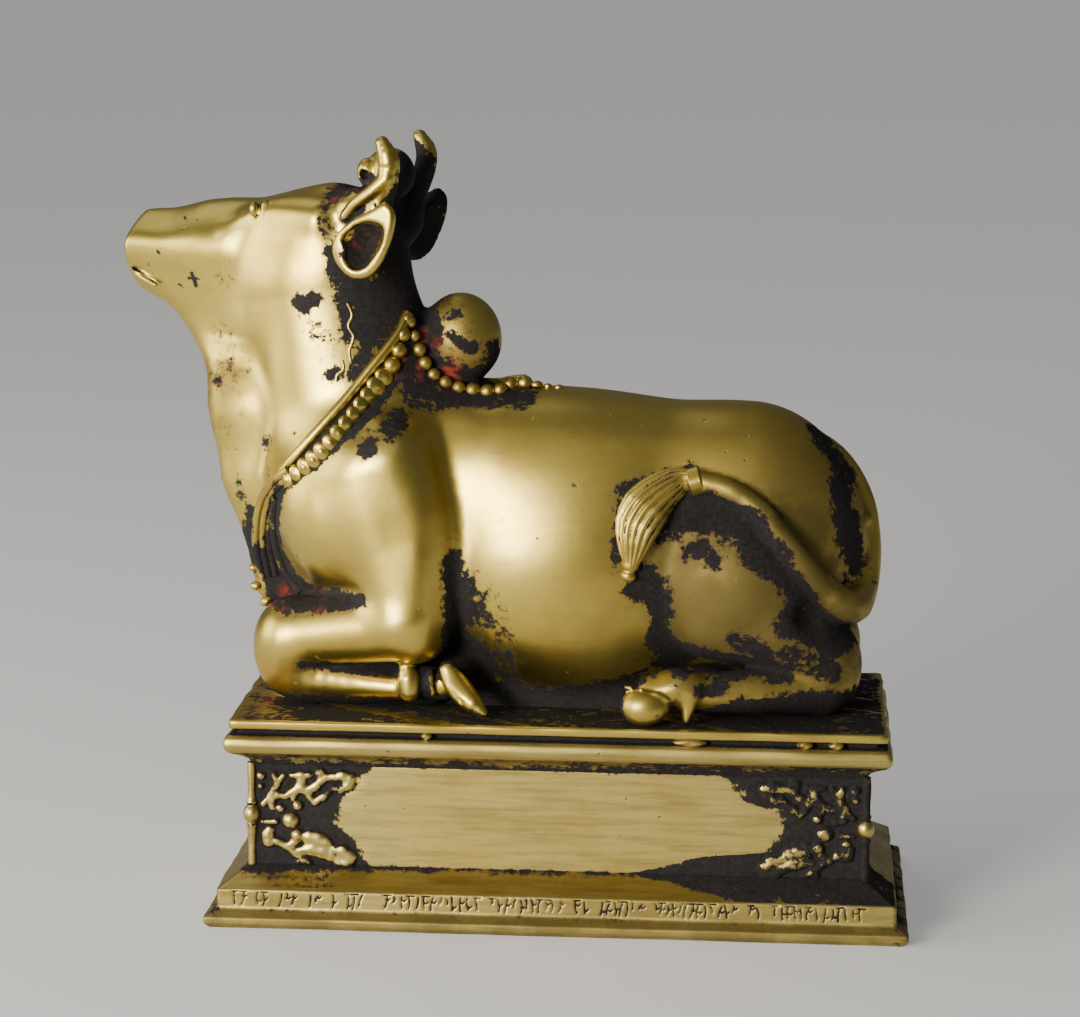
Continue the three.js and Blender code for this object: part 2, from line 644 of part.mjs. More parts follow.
const nandi = new THREE.Group();
nandi.add(namedMesh('nandi_bull', bullSolid(), SHORTEST_BULL_EDGE, SLAB_TOP));
nandi.add(namedMesh('plinth', plinthSolid(), SHORTEST_PLINTH_EDGE, 0));

export default nandi;
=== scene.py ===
"""A recumbent bull cast in brass on its moulded plinth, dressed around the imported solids.

Figure measures are millimetres. The bull's are counted up from the top of its slab.
"""

import json
import logging
import math
from dataclasses import dataclass
from enum import Enum
from typing import Callable, Iterable, Mapping, Sequence

import bmesh
import bpy
import numpy as np
from mathutils import Matrix

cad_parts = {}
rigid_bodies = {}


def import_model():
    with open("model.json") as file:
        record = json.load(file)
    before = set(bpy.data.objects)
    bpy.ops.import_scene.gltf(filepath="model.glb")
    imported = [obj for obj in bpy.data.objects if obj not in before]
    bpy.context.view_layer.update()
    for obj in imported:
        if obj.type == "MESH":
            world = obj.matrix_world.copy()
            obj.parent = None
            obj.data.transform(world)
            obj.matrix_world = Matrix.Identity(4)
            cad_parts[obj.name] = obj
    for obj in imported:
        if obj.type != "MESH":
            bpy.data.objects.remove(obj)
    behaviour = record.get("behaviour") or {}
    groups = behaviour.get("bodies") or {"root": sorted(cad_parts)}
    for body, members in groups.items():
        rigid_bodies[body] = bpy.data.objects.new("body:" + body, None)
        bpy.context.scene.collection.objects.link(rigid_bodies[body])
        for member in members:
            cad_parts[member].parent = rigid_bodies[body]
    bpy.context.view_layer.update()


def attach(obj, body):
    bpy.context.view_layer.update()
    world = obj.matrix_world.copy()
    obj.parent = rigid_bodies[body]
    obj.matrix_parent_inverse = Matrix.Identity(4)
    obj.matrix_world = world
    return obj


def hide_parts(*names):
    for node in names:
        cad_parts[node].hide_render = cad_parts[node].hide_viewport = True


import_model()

log = logging.getLogger("nandi")

MM = 0.001
SLAB_TOP = 53.4
FAR = 60.0
TINY = 1e-9
HALVINGS = 26
SETTLE_ROUNDS = 12
SURFACE_MOVES = 3
FLATTEST = 0.2
CELL_REACH = 0.62
CORE_SLOPE = 2.2
HALO_LEAST = 1.6
HALO_SHARE = 0.55
BASE = np.array([0, 0, SLAB_TOP])
OUTWARD = np.array([0.0, -1.0, 0.0])
BODY = "root"
Array = np.ndarray
Pair = tuple[float, float]
Vec = tuple[float, float, float]
Profile = tuple[Pair, ...]
Field = Callable[[Array], Array]
Piece = bpy.types.Object
Socket = bpy.types.NodeSocket


# Distance fields


def smooth_union(a: Array, b: Array, reach: float) -> Array:
    """Joins two distances with a fillet.

    Args:
        a, b: distances to the two masses.
        reach: how near the two have to be for the fillet to start.

    Returns:
        The distance to the joined mass.
    """
    near = np.maximum(reach - np.abs(a - b), 0.0) / reach
    return np.minimum(a, b) - near * near * reach / 4


def smooth_cut(a: Array, b: Array, reach: float) -> Array:
    """Takes mass b out of mass a with a rounded lip. Arguments as in smooth_union."""
    return -smooth_union(-a, b, reach)


def smooth_line(points: Sequence[Sequence[float]], count: int) -> Array:
    """Spaces points evenly along a smooth curve.

    Args:
        points: the points that the curve passes through.
        count: how many points come back.

    Returns:
        An array of count rows.
    """
    base = np.array(points, float)
    padded = np.vstack([2 * base[0] - base[1], base, 2 * base[-1] - base[-2]])
    knots = np.concatenate([[0.0], np.cumsum(np.linalg.norm(np.diff(padded, axis=0), axis=1) ** 0.5)])
    dense = []
    for i in range(1, len(padded) - 2):
        t = np.linspace(knots[i], knots[i + 1], 24, endpoint=False)[:, None]
        p0, p1, p2, p3 = padded[i - 1 : i + 3]
        t0, t1, t2, t3 = knots[i - 1 : i + 3]
        a1 = (t1 - t) / (t1 - t0) * p0 + (t - t0) / (t1 - t0) * p1
        a2 = (t2 - t) / (t2 - t1) * p1 + (t - t1) / (t2 - t1) * p2
        a3 = (t3 - t) / (t3 - t2) * p2 + (t - t2) / (t3 - t2) * p3
        b1 = (t2 - t) / (t2 - t0) * a1 + (t - t0) / (t2 - t0) * a2
        b2 = (t3 - t) / (t3 - t1) * a2 + (t - t1) / (t3 - t1) * a3
        dense.append((t2 - t) / (t2 - t1) * b1 + (t - t1) / (t2 - t1) * b2)
    line = np.vstack([*dense, base[-1:]])
    run = np.concatenate([[0.0], np.cumsum(np.linalg.norm(np.diff(line, axis=0), axis=1))])
    at = np.linspace(0.0, run[-1], count)
    return np.column_stack([np.interp(at, run, line[:, axis]) for axis in range(line.shape[1])])


def closed_line(points: Sequence[Sequence[float]], count: int) -> Array:
    """Spaces points evenly round a smooth closed outline. Arguments and result as in smooth_line."""
    return smooth_line([*points, points[0]], count + 1)[:-1]


def on_segment(at: Array, a: Array, b: Array) -> tuple[Array, Array]:
    """Measures places against a straight stretch.

    Args:
        at: the places.
        a, b: the stretch's ends.

    Returns:
        The share of the stretch up to the point nearest to each place, and how far off that point is.
    """
    axis = b - a
    share = np.clip((at - a) @ axis / max(float(axis @ axis), TINY), 0, 1)
    return share, np.linalg.norm(at - a - share[:, None] * axis, axis=1)


def within(outline: Array, at: Array) -> Array:
    """Measures places against a closed outline.

    Args:
        outline: the outline's points, two numbers each.
        at: the places.

    Returns:
        How far each place lies outside the outline, less than nothing inside it.
    """
    near, inside = np.full(len(at), FAR), np.zeros(len(at), bool)
    for a, b in zip(outline, np.roll(outline, -1, axis=0)):
        near = np.minimum(near, on_segment(at, a, b)[1])
        run, rise = b - a
        if rise != 0:
            passed = (a[1] > at[:, 1]) != (b[1] > at[:, 1])
            inside ^= passed & (at[:, 0] < a[0] + (at[:, 1] - a[1]) / rise * run)
    return np.where(inside, -near, near)


@dataclass(frozen=True)
class Facet:
    """A flat that is struck off a mass: a point on it, the way it faces and the reach of its blend."""

    point: Vec
    facing: Vec
    reach: float

    def strike(self, p: Array, d: Array) -> Array:
        """The distance once the mass in front of the flat is gone."""
        facing = np.array(self.facing) / np.linalg.norm(self.facing)
        return -smooth_union(-d, -((p - np.array(self.point)) @ facing), self.reach)


@dataclass(frozen=True)
class Ball:
    """An ellipsoid, leaned about the Y axis by so many degrees."""

    centre: Vec
    radii: Vec
    lean: float = 0.0

    def bounds(self) -> tuple[Array, Array]:
        """The box that holds the mass."""
        reach = np.array(self.radii) if not self.lean else np.array([max(self.radii)] * 3)
        return np.array(self.centre) - reach, np.array(self.centre) + reach

    def distance(self, p: Array) -> Array:
        """How far each point lies outside the mass."""
        d = p - np.array(self.centre)
        c, s = math.cos(math.radians(self.lean)), math.sin(math.radians(self.lean))
        local = np.column_stack([c * d[:, 0] - s * d[:, 2], d[:, 1], s * d[:, 0] + c * d[:, 2]])
        radii = np.array(self.radii)
        k0 = np.linalg.norm(local / radii, axis=1)
        k1 = np.linalg.norm(local / radii**2, axis=1)
        return np.where(k1 > TINY, k0 * (k0 - 1) / np.maximum(k1, TINY), -radii.min())


@dataclass(frozen=True)
class Limb:
    """A limb that tapers from one round end to the other, its Y width flattened by a share."""

    start: Vec
    end: Vec
    radius: float
    radius_end: float
    flat: float = 1.0

    def bounds(self) -> tuple[Array, Array]:
        """The box that holds the mass."""
        reach = max(self.radius, self.radius_end)
        low = np.minimum(self.start, self.end) - reach
        return low, np.maximum(self.start, self.end) + reach

    def distance(self, p: Array) -> Array:
        """How far each point lies outside the mass."""
        stretch = np.array([1.0, 1.0 / self.flat, 1.0])
        axis = (np.array(self.end) - np.array(self.start)) * stretch
        share, away = on_segment((p - np.array(self.start)) * stretch, np.zeros(3), axis)
        return (away - (self.radius + share * (self.radius_end - self.radius))) * min(self.flat, 1.0)


@dataclass(frozen=True)
class Chain:
    """A limb along a smooth line, its radius read off along its length."""

    line: tuple[Vec, ...]
    radii: tuple[float, ...]
    steps: int = 10
    flat: float = 1.0

    def links(self) -> list[Limb]:
        """The straight limbs that follow the line."""
        spots = smooth_line(self.line, self.steps + 1)
        at = np.linspace(0, len(self.radii) - 1, self.steps + 1)
        radii = np.interp(at, range(len(self.radii)), self.radii)
        ends = zip(spots[:-1], spots[1:], radii[:-1], radii[1:])
        return [Limb(tuple(a), tuple(b), ra, rb, self.flat) for a, b, ra, rb in ends]

    def bounds(self) -> tuple[Array, Array]:
        """The box that holds the mass."""
        boxes = [link.bounds() for link in self.links()]
        return np.min([b[0] for b in boxes], axis=0), np.max([b[1] for b in boxes], axis=0)

    def distance(self, p: Array) -> Array:
        """How far each point lies outside the mass."""
        return np.min([link.distance(p) for link in self.links()], axis=0)


Mass = Ball | Limb | Chain
Masses = Sequence[tuple[Mass, float]]


def blend(masses: Masses, p: Array, start: Array, band: float, cut: bool = False) -> Array:
    """Adds masses to a distance, or cuts them out of it.

    Args:
        masses: each mass with the reach of its blend.
        p: the points.
        start: the distance so far.
        band: how far from the surface the result has to hold.
        cut: whether the masses are taken away.

    Returns:
        The new distance.
    """
    d = start.copy()
    for mass, reach in masses:
        low, high = mass.bounds()
        room = reach + band
        near = np.all((p > low - room) & (p < high + room), axis=1)
        if near.any():
            join = smooth_cut if cut else smooth_union
            d[near] = join(d[near], mass.distance(p[near]), reach)
    return d


@dataclass
class Figure:
    """The bull's own form, laid out in profile. The left half is given and the right mirrors it."""

    head_turn: float = -16.0
    head_pivot: float = -52.0
    bottom: float = -1.8
    trunk: Masses = (
        (Limb((-16, 0, 60), (47, 0, 56.5), 22.3, 21, 0.95), 8),
        (Ball((2, 0, 39.5), (43, 29, 38.5)), 8),
        (Ball((46, 0, 42), (33, 25, 34)), 8),
        (Ball((-44, 0, 50), (33, 22, 33)), 8),
        (Ball((4, 0, 0), (50, 13, 12)), 4),
        (Ball((-40, 0, 12), (32, 13, 20)), 5),
        (Limb((-66, 0, 36), (-58, 0, 8), 7, 7), 3),
    )
    neck: Masses = (
        (Limb((-52, 0, 64), (-61, 0, 108), 27, 20.5, 0.66), 9),
        (Limb((-83.5, 0, 74), (-81.5, 0, 58), 6.3, 6.3, 0.5), 7),
        (Limb((-81.5, 0, 58), (-76.4, 0, 28.5), 6.3, 5.2, 0.6), 6),
    )
    foreleg: Masses = (
        (Ball((-53, -12.5, 52), (20.5, 14.8, 22.5)), 4),
        (Limb((-47, -14.5, 62), (-39.5, -20, 25.5), 15, 10.3), 5),
        (Chain(((-41.2, -20.6, 66), (-37.8, -22.2, 58), (-34.9, -23.2, 49), (-34.4, -23.6, 38),
                (-34.8, -22.2, 26)), (7.2, 6.6, 5.8, 5.8, 6.4), 8), 6),
        (Limb((-40.6, -20.2, 23.2), (-70, -13, 18), 10, 8.4), 3.5),
        (Ball((-36, -20.4, 19.8), (6.6, 8.2, 6.6)), 3),
        (Ball((-70, -12, 14.2), (10.4, 8.6, 13.4)), 3),
    )
    hind_leg: Masses = (
        (Ball((45, -16, 35.5), (20.5, 15, 20.5)), 2.5),
        (Limb((38, -17, 24.5), (58, -15.5, 21), 8.8, 8.2), 4),
        (Limb((56, -16.5, 25), (66, -13, 15), 11.5, 9.8), 4),
        (Ball((67.5, -12.5, 12), (9.4, 8.4, 12.4)), 3),
    )
    hump: Masses = (
        (Ball((-27.2, 0, 94.4), (10.2, 9.6, 11.6), -8), 3),
        (Ball((-42, -2.5, 100.5), (3.4, 3.2, 3)), 1.5),
    )
    lower_legs: Masses = (
        (Chain(((-68, -12.4, 7.6), (-56, -15, 6.2), (-42, -17.8, 5.6)), (6.8, 5.2, 3.9, 3.4), 8), 1.2),
        (Limb((-66, -11, 6), (-34, -12, 6), 7, 6), 2),
        (Limb((-38, -18.5, 8), (-30, -19.5, 7), 4.4, 4.0), 1.5),
        (Chain(((-39.2, -21.5, 11.5), (-38.6, -22.2, 8.5), (-38.4, -22.2, 6)), (2.3, 3.1, 3.1), 4), 1.0),
        (Chain(((-33.2, -22.6, 11), (-33, -24, 8.5), (-32.2, -24.2, 5.5)), (0.9, 0.95, 0.7), 4), 0.4),
        (Chain(((-28.4, -22.4, 11.6), (-26.2, -24, 8.3), (-22.5, -26.5, 4.6), (-18.4, -28.5, 1.6)),
               (2.7, 3.4, 2.8, 1.0), 7), 0.4),
        (Chain(((66, -13.4, 8), (52, -20, 7.6), (38, -23.5, 7.6), (32, -25, 8)), (8, 6.2, 5.4, 5), 9), 1.5),
        (Limb((33.6, -28, 8), (32.8, -29.2, 1.4), 3.0, 1.0), 1.0),
        (Ball((29, -26.5, 9.5), (9, 5, 4.8)), 1.2),
        (Ball((22.2, -29.6, 4.9), (6.3, 4.9, 4.9)), 0.4),
        (Chain(((16.6, -29, 9.6), (21, -31, 9.9), (26, -31.8, 8.4), (29, -31.4, 6.4)),
               (0.5, 0.8, 0.8, 0.5), 6), 0.4),
    )
    creases: Masses = (
        (Limb((-28, -32, 60), (-26.6, -30, 14), 1.4, 3.2), 7),
        (Limb((-68, -24, 28.6), (-50, -29, 30.6), 1.3, 1.1), 1.6),
        (Limb((22.5, -33, 54), (23, -30, 16), 1.6, 3.6), 6),
        (Ball((67, -27, 28), (7, 6, 5)), 3),
        (Chain(((-66.5, -22.5, 12.6), (-58, -25, 12.1), (-50, -26.5, 11.5), (-43, -27.5, 11.1)),
               (0.4, 0.8, 1.3, 1.7), 6), 0.8),
        (Limb((-28.2, -27.2, 8.0), (-21.4, -28.2, 2.2), 0.35, 0.3), 0.4),
        (Chain(((28.6, -28, 18.8), (40, -28.5, 15.4), (50, -27.5, 14), (58, -26, 13), (62, -24, 12.6)),
               (1.6, 1.0, 0.8, 0.7, 0.3), 8), 0.8),
    )
    muzzle: Masses = (
        (Limb((-115, 0, 115.6), (-92, 0, 114.8), 9.7, 12, 0.84), 5),
        (Chain(((-117.6, -3.0, 116.6), (-101, -4.6, 116.2), (-88, -5, 117)), (5.4, 5.6, 6.2), 8), 3),
        (Limb((-112.4, 0, 109.4), (-106, 0, 108.4), 5.2, 6.4, 0.85), 3),
    )
    facets: tuple[Facet, ...] = (
        Facet((-118.2, 0, 115), (-1, 0, -0.06), 2.0),
        Facet((-117.55, 0, 117), (-0.965, 0, 0.26), 1.6),
        Facet((-94.1, -10.8, 120.6), (-0.063, -0.58, 0.81), 3.0),
    )
    head: Masses = (
        (Limb((-92, 0, 114.8), (-61, 0, 116.8), 12, 16.2, 0.8), 6),
        (Limb((-107, 0, 108.8), (-79, 0, 100.5), 6.8, 13.5, 0.8), 6),
        (Chain(((-86, -7.4, 120.6), (-79.5, -8, 124.4), (-72, -8.8, 126), (-60, -11.2, 125.6)),
               (2.2, 3, 3.6, 4), 10), 4),
        (Ball((-45.4, 0, 136.4), (6.6, 5.6, 6.8)), 1.6),
        (Ball((-50, -8, 128), (6, 6, 5.4)), 4),
        (Ball((-50.2, -3.4, 137.2), (2.6, 2.6, 3.4)), 1.0),
        (Chain(((-45.5, -10.2, 124), (-43.6, -11.2, 130), (-41, -12, 136), (-40.4, -12.6, 141),
                (-42.2, -12.4, 145.2)), (5, 4, 3.2, 2.9, 2.8, 2.7, 1.8), 14), 1.4),
        (Chain(((-40.6, -13.4, 136.4), (-44.6, -14, 133), (-49, -14.2, 129.8), (-52, -13.8, 126.6)),
               (2.0, 1.8, 1.5, 1.0), 8), 0.6),
        (Limb((-50, -8, 121), (-47.5, -11.2, 121), 4.6, 4.0), 2.5),
    )
    throat: Masses = ((Limb((-92.4, 11.6, 97), (-83.5, 0, 74), 7.8, 6.3, 0.65), 8),)
    face_cuts: Masses = (
        (Chain(((-76.9, -11.2, 128.8), (-76.6, -11.5, 127.2), (-77.2, -11.6, 125.4), (-78.6, -11.6, 124.7)),
               (0.2, 0.3, 0.35, 0.2), 8), 0.3),
        (Chain(((-119.4, 0, 110.9), (-117.4, -4.6, 110.6), (-113.6, -7, 109.4), (-108.2, -8.4, 107.6)),
               (0.8, 0.9, 0.8, 0.4), 10), 0.3),
        (Ball((-50.2, -6.0, 136.4), (1.35, 2.4, 1.35)), 0.4),
        (Limb((-43.4, -14.6, 139.4), (-38.2, -15.4, 139.2), 0.35, 0.2), 0.3),
        (Limb((-98.6, -11.4, 110.2), (-97.2, -11.4, 106.6), 0.7, 0.5), 0.6),
    )
    face_lips: Masses = (
        (Chain(((-118, 0, 108.9), (-116.2, -4.4, 108.6), (-112.8, -6.6, 107.4), (-108.6, -8, 105.8)),
               (0.9, 0.9, 0.8, 0.5), 8), 0.5),
        (Ball((-78.4, -11.2, 127.2), (1.3, 1.5, 1.9)), 0.2),
        (Limb((-75.6, -10.6, 128.4), (-75.6, -11.2, 126), 0.8, 0.6), 1.2),
    )
    ear_outline: Profile = (
        (-37.4, 131.7), (-35, 129.4), (-34.8, 126), (-36.2, 121), (-39.1, 115.1), (-42.4, 112.2),
        (-46.8, 112), (-50.6, 115.1), (-51.9, 118.9), (-50.8, 122.8), (-46.6, 126.6), (-41, 129.6))
    ear_hollow: Profile = (
        (-45.8, 125.2), (-41.8, 126.4), (-37.9, 125.2), (-38, 121.5), (-40.3, 117.6), (-43, 114.8),
        (-46.3, 114.3), (-48.2, 116.5), (-47.9, 119.2), (-49, 121.8))
    ear_middle: float = -18.2
    ear_depth: float = 4.6
    ear_edge: float = 1.5
    ear_floor: float = 1.6
    ear_taper: float = 0.62
    ear_slant: float = 1.4
    ear_straight: float = 1.2
    ear_floor_blend: float = 3.5
    ear_lip_blend: float = 0.8
    ear_blend: float = 0.8
    ear_room: float = 16.0
    head_blend: float = 7.0
    far_ear_forward: float = 3.5
    ear_centre: Vec = (-43.4, -18.2, 121.8)
    grid_x: tuple[float, ...] = (-122, 0.84, -29, 1.32, 90)
    grid_y: tuple[float, ...] = (-38, 1.0, 38)
    grid_z: tuple[float, ...] = (-3, 1.2, 30, 1.4, 84, 0.92, 150)

    def __post_init__(self) -> None:
        """Draws the ear's outlines smooth."""
        self.ear_rim = closed_line(self.ear_outline, 44)
        self.ear_bowl = closed_line(self.ear_hollow, 36)

    def ear(self, p: Array) -> Array:
        """The leaf-shaped ear in the head's frame, a bowl with a thick rounded rim and a fold at its foot."""
        flat, out = p[:, [0, 2]], p[:, 1] - self.ear_middle
        taper = self.ear_taper * np.maximum(out + self.ear_depth - self.ear_straight, 0)
        a = within(self.ear_rim, flat) + self.ear_edge + taper
        b = np.abs(out) - self.ear_depth + self.ear_edge
        leaf = np.minimum(np.maximum(a, b), 0) + np.hypot(np.maximum(a, 0), np.maximum(b, 0)) - self.ear_edge
        inside = within(self.ear_bowl, flat) + self.ear_slant * taper
        bowl = -smooth_union(-inside, self.ear_floor - out, self.ear_floor_blend)
        return smooth_cut(leaf, bowl, self.ear_lip_blend)

    def in_head(self, p: Array) -> Array:
        """The points as the head sees them, before its turn, on its left side."""
        turn = math.radians(self.head_turn)
        c, s = math.cos(turn), math.sin(turn)
        dx = p[:, 0] - self.head_pivot
        hy = -np.abs(p[:, 1] * c - dx * s)
        return np.column_stack([self.head_pivot + dx * c + p[:, 1] * s, hy, p[:, 2]])

    def from_head(self, p: Vec) -> Vec:
        """A place in the head's frame as it lies after the head's turn."""
        turn = math.radians(self.head_turn)
        c, s = math.cos(turn), math.sin(turn)
        dx = p[0] - self.head_pivot
        return (self.head_pivot + dx * c - p[1] * s, p[1] * c + dx * s, p[2])

    def bare(self, p: Array, band: float = 6.0) -> Array:
        """How far each point lies outside the bull without its tail."""
        side = p.copy()
        side[:, 1] = -np.abs(p[:, 1])
        d = blend([*self.trunk, *self.foreleg, *self.hind_leg, *self.neck, *self.hump],
                  side, np.full(len(p), FAR), band)
        h = self.in_head(p)
        d = blend(self.throat, p, d, band)
        head_band = band + self.head_blend
        whole = blend(self.muzzle, h, np.full(len(p), FAR), head_band)
        for facet in self.facets:
            whole = facet.strike(h, whole)
        d = smooth_union(d, blend(self.head, h, whole, head_band), self.head_blend)
        near = np.all(np.abs(h - np.array(self.ear_centre)) < self.ear_room + band, axis=1)
        if near.any():
            forward = np.outer(np.where(p[near, 1] > 0, self.far_ear_forward, 0), [1, 0, 0])
            d[near] = smooth_union(d[near], self.ear(h[near] + forward), self.ear_blend)
        d = blend(self.face_cuts, h, d, band, cut=True)
        d = blend(self.face_lips, h, d, band)
        d = blend(self.lower_legs, side, d, band)
        d = blend(self.creases, side, d, band, cut=True)
        return np.maximum(d, self.bottom - p[:, 2])

    def flank(self, profile: Sequence[Sequence[float]], count: int, stand_off: float = 0.0) -> Array:
        """Lays a line drawn in profile on the left flank.

        Args:
            profile: (x, z) places that the line passes through.
            count: how many points come back.
            stand_off: how far out of the flank they lie.

        Returns:
            An array of count points.
        """
        xz = smooth_line([(x, 0.0, z) for x, z in profile], count)
        out, inside = np.full(count, -FAR), np.zeros(count)
        for _ in range(HALVINGS):
            middle = (out + inside) / 2
            hit = self.bare(np.column_stack([xz[:, 0], middle, xz[:, 2]]), 40.0) < 0
            inside = np.where(hit, middle, inside)
            out = np.where(hit, out, middle)
        return np.column_stack([xz[:, 0], out - stand_off, xz[:, 2]])


@dataclass
class Tail:
    """The tail drops behind the rump and comes forward over the left thigh to its ring and tuft."""

    drop: tuple[Vec, ...] = ((56, 0, 72), (69, 0, 65.5), (76.5, 0, 54), (78.4, -1, 42), (77, -6, 32),
                            (73, -17, 29))
    profile: Profile = (
        (66.5, 34.5), (61.7, 40.9), (55, 49.4), (48.3, 56.7), (40.7, 60.7), (33.9, 62.1))
    radii: tuple[float, ...] = (2.6, 3, 3, 3, 3.6, 4.6, 4.2, 3.5, 3.1, 2.8, 2.6)
    stand_off: float = 1.6
    tuft_profile: Profile = (
        (30.6, 61.8), (25.2, 58.4), (21, 53.2), (19.2, 47.4), (18.2, 41), (17.4, 36.6))
    tuft_radii: tuple[float, ...] = (2.2, 3.9, 5.0, 5.9, 5.7, 4.2, 2.2, 1.7)
    tuft_flat: float = 0.72
    strands: int = 17
    strand_depth: float = 0.17
    strand_sway: Vec = (1.6, 0.9, 7.0)
    hair: Vec = (41, 5, 0.018)
    lock: float = 0.07
    knot_at: float = 0.92
    knot_pinch: Pair = (0.35, 0.018)
    tip_from: float = 0.965
    ring_radius: Pair = (2.5, 0.9)
    ring_lips: Vec = (0.06, 0.72, 0.12)
    ring_corners: float = 0.05
    wart: Vec = (77.6, -4.6, 49.4)

    def over_thigh(self, figure: Figure) -> Array:
        """The tail's line over the thigh."""
        return figure.flank(self.profile, 6, self.stand_off)

    def masses(self, figure: Figure) -> Masses:
        """The tail as masses to blend into the bull."""
        line = tuple(map(tuple, [*self.drop, *self.over_thigh(figure)]))
        return [(Chain(line, self.radii, 40), 0.9), (Ball(self.wart, (1.6, 1.6, 1.6)), 0.5)]


# Meshes


def grid_lines(stops: Sequence[float]) -> Array:
    """Steps evenly between stops.

    Args:
        stops: start, step, next start, step, ..., end.

    Returns:
        The lines' places.
    """
    lines = [np.array([stops[0]])]
    for start, step, end in zip(stops[0::2], stops[1::2], stops[2::2]):
        count = round((end - start) / step)
        lines.append(start + (end - start) * np.arange(1, count + 1) / count)
    return np.concatenate(lines)


def near_values(shape: Field, lines: Sequence[Array], block: int = 4) -> Array:
    """Reads a field on a grid, closely only in the blocks that its surface may cross.

    Args:
        shape: the distance field.
        lines: the grid's x, y and z lines.
        block: how many lines a coarse step skips.

    Returns:
        The field's values, indexed x, y, z. Away from the surface only their sign holds.
    """
    coarse_at = [np.unique(np.r_[np.arange(0, len(line), block), len(line) - 1]) for line in lines]
    coarse = [line[at] for line, at in zip(lines, coarse_at)]
    spots = np.stack(np.meshgrid(*coarse, indexing="ij"), -1).reshape(-1, 3)
    rough = shape(spots).reshape([len(line) for line in coarse])
    reach = CELL_REACH * math.sqrt(sum(float(np.diff(line).max()) ** 2 for line in coarse))
    close = np.abs(rough) < reach
    grown = close.copy()
    for axis in range(3):
        shifted = np.moveaxis(grown, axis, 0).copy()
        shifted[1:] |= np.moveaxis(grown, axis, 0)[:-1]
        shifted[:-1] |= np.moveaxis(grown, axis, 0)[1:]
        grown = np.moveaxis(shifted, 0, axis)
    owner = [np.clip(np.round(np.arange(len(line)) / block).astype(int), 0, len(at) - 1)
             for line, at in zip(lines, coarse_at)]
    value = np.where(rough[np.ix_(*owner)] < 0, -FAR, FAR)
    fine = np.argwhere(grown[np.ix_(*owner)])
    places = np.column_stack([lines[axis][fine[:, axis]] for axis in range(3)])
    value[tuple(fine.T)] = shape(places)
    return value


def settle(value: Array) -> None:
    """Fills single grid corners until no grid face has its two diagonals on opposite sides."""
    for _ in range(SETTLE_ROUNDS):
        changed = False
        for p, q in ((0, 1), (1, 2), (2, 0)):
            v = np.moveaxis(value, (p, q), (0, 1))
            a, b, c, d = v[:-1, :-1] < 0, v[1:, :-1] < 0, v[1:, 1:] < 0, v[:-1, 1:] < 0
            for i, j, k in np.argwhere((a == c) & (b == d) & (a != b)):
                corners = [(i, j), (i + 1, j), (i + 1, j + 1), (i, j + 1)]
                pair = [corners[1], corners[3]] if v[i, j, k] < 0 else [corners[0], corners[2]]
                lower = min(pair, key=lambda at: v[at[0], at[1], k])
                v[lower[0], lower[1], k] = -0.1
                changed = True
        if not changed:
            return


def slope(shape: Field, points: Array, step: float) -> Array:
    """The field's gradient at each point, read a step to either side."""
    parts = []
    for axis in range(3):
        move = np.zeros(3)
        move[axis] = step
        parts.append((shape(points + move) - shape(points - move)) / (2 * step))
    return np.column_stack(parts)


def drawn_onto(shape: Field, points: Array, limit: float, step: float) -> Array:
    """Moves points onto a field's surface.

    Args:
        shape: the distance field.
        points: the points, near the surface.
        limit: how far a point may move at a time.
        step: how far to either side the slope is read.

    Returns:
        The moved points.
    """
    for _ in range(SURFACE_MOVES):
        grad = slope(shape, points, step)
        move = np.clip(shape(points) / np.maximum((grad**2).sum(1), FLATTEST), -limit, limit)
        points = points - grad * move[:, None]
    return points


def surface_net(shape: Field, lines: Sequence[Array]) -> tuple[Array, Array]:
    """Meshes the surface where a field is zero.

    Args:
        shape: the distance field.
        lines: the grid's x, y and z lines.

    Returns:
        The points, drawn onto the surface, and the faces of four.
    """
    value = near_values(shape, lines)
    settle(value)
    inside = value < 0
    sizes = [len(line) for line in lines]
    corners = [(a, b, c) for a in (0, 1) for b in (0, 1) for c in (0, 1)]
    filled = np.zeros([size - 1 for size in sizes], np.int8)
    for k in corners:
        filled += inside[tuple(slice(start, size - 1 + start) for start, size in zip(k, sizes))]
    cells = np.argwhere((filled > 0) & (filled < 8))
    total = np.zeros((len(cells), 3))
    count = np.zeros(len(cells))
    for k in corners:
        for axis in range(3):
            if k[axis]:
                continue
            other = tuple(v + (axis == n) for n, v in enumerate(k))
            at, to = cells + np.array(k), cells + np.array(other)
            v0, v1 = value[tuple(at.T)], value[tuple(to.T)]
            cross = (v0 < 0) != (v1 < 0)
            t = np.where(cross, v0 / np.where(cross, v0 - v1, 1), 0)
            for n in range(3):
                here = lines[n][at[:, n]] + t * (lines[n][to[:, n]] - lines[n][at[:, n]])
                total[:, n] += np.where(cross, here, 0)
            count += cross
    points = drawn_onto(shape, total / count[:, None], limit=0.5, step=0.04)
    number = np.full([size - 1 for size in sizes], -1)
    number[tuple(cells.T)] = np.arange(len(cells))
    faces = []
    for axis in range(3):
        p, q = (axis + 1) % 3, (axis + 2) % 3
        low, high = np.moveaxis(inside, axis, 0)[:-1], np.moveaxis(inside, axis, 0)[1:]
        edges = np.argwhere(np.moveaxis(low != high, 0, axis))
        quad = []
        for dp, dq in ((0, 0), (1, 0), (1, 1), (0, 1)):
            at = edges.copy()
            at[:, p] -= dp
            at[:, q] -= dq
            quad.append(number[tuple(at.T)])
        faces_here = np.column_stack(quad)
        outward = inside[tuple(edges.T)]
        faces.append(np.where(outward[:, None], faces_here, faces_here[:, ::-1]))
    return points, np.vstack(faces)


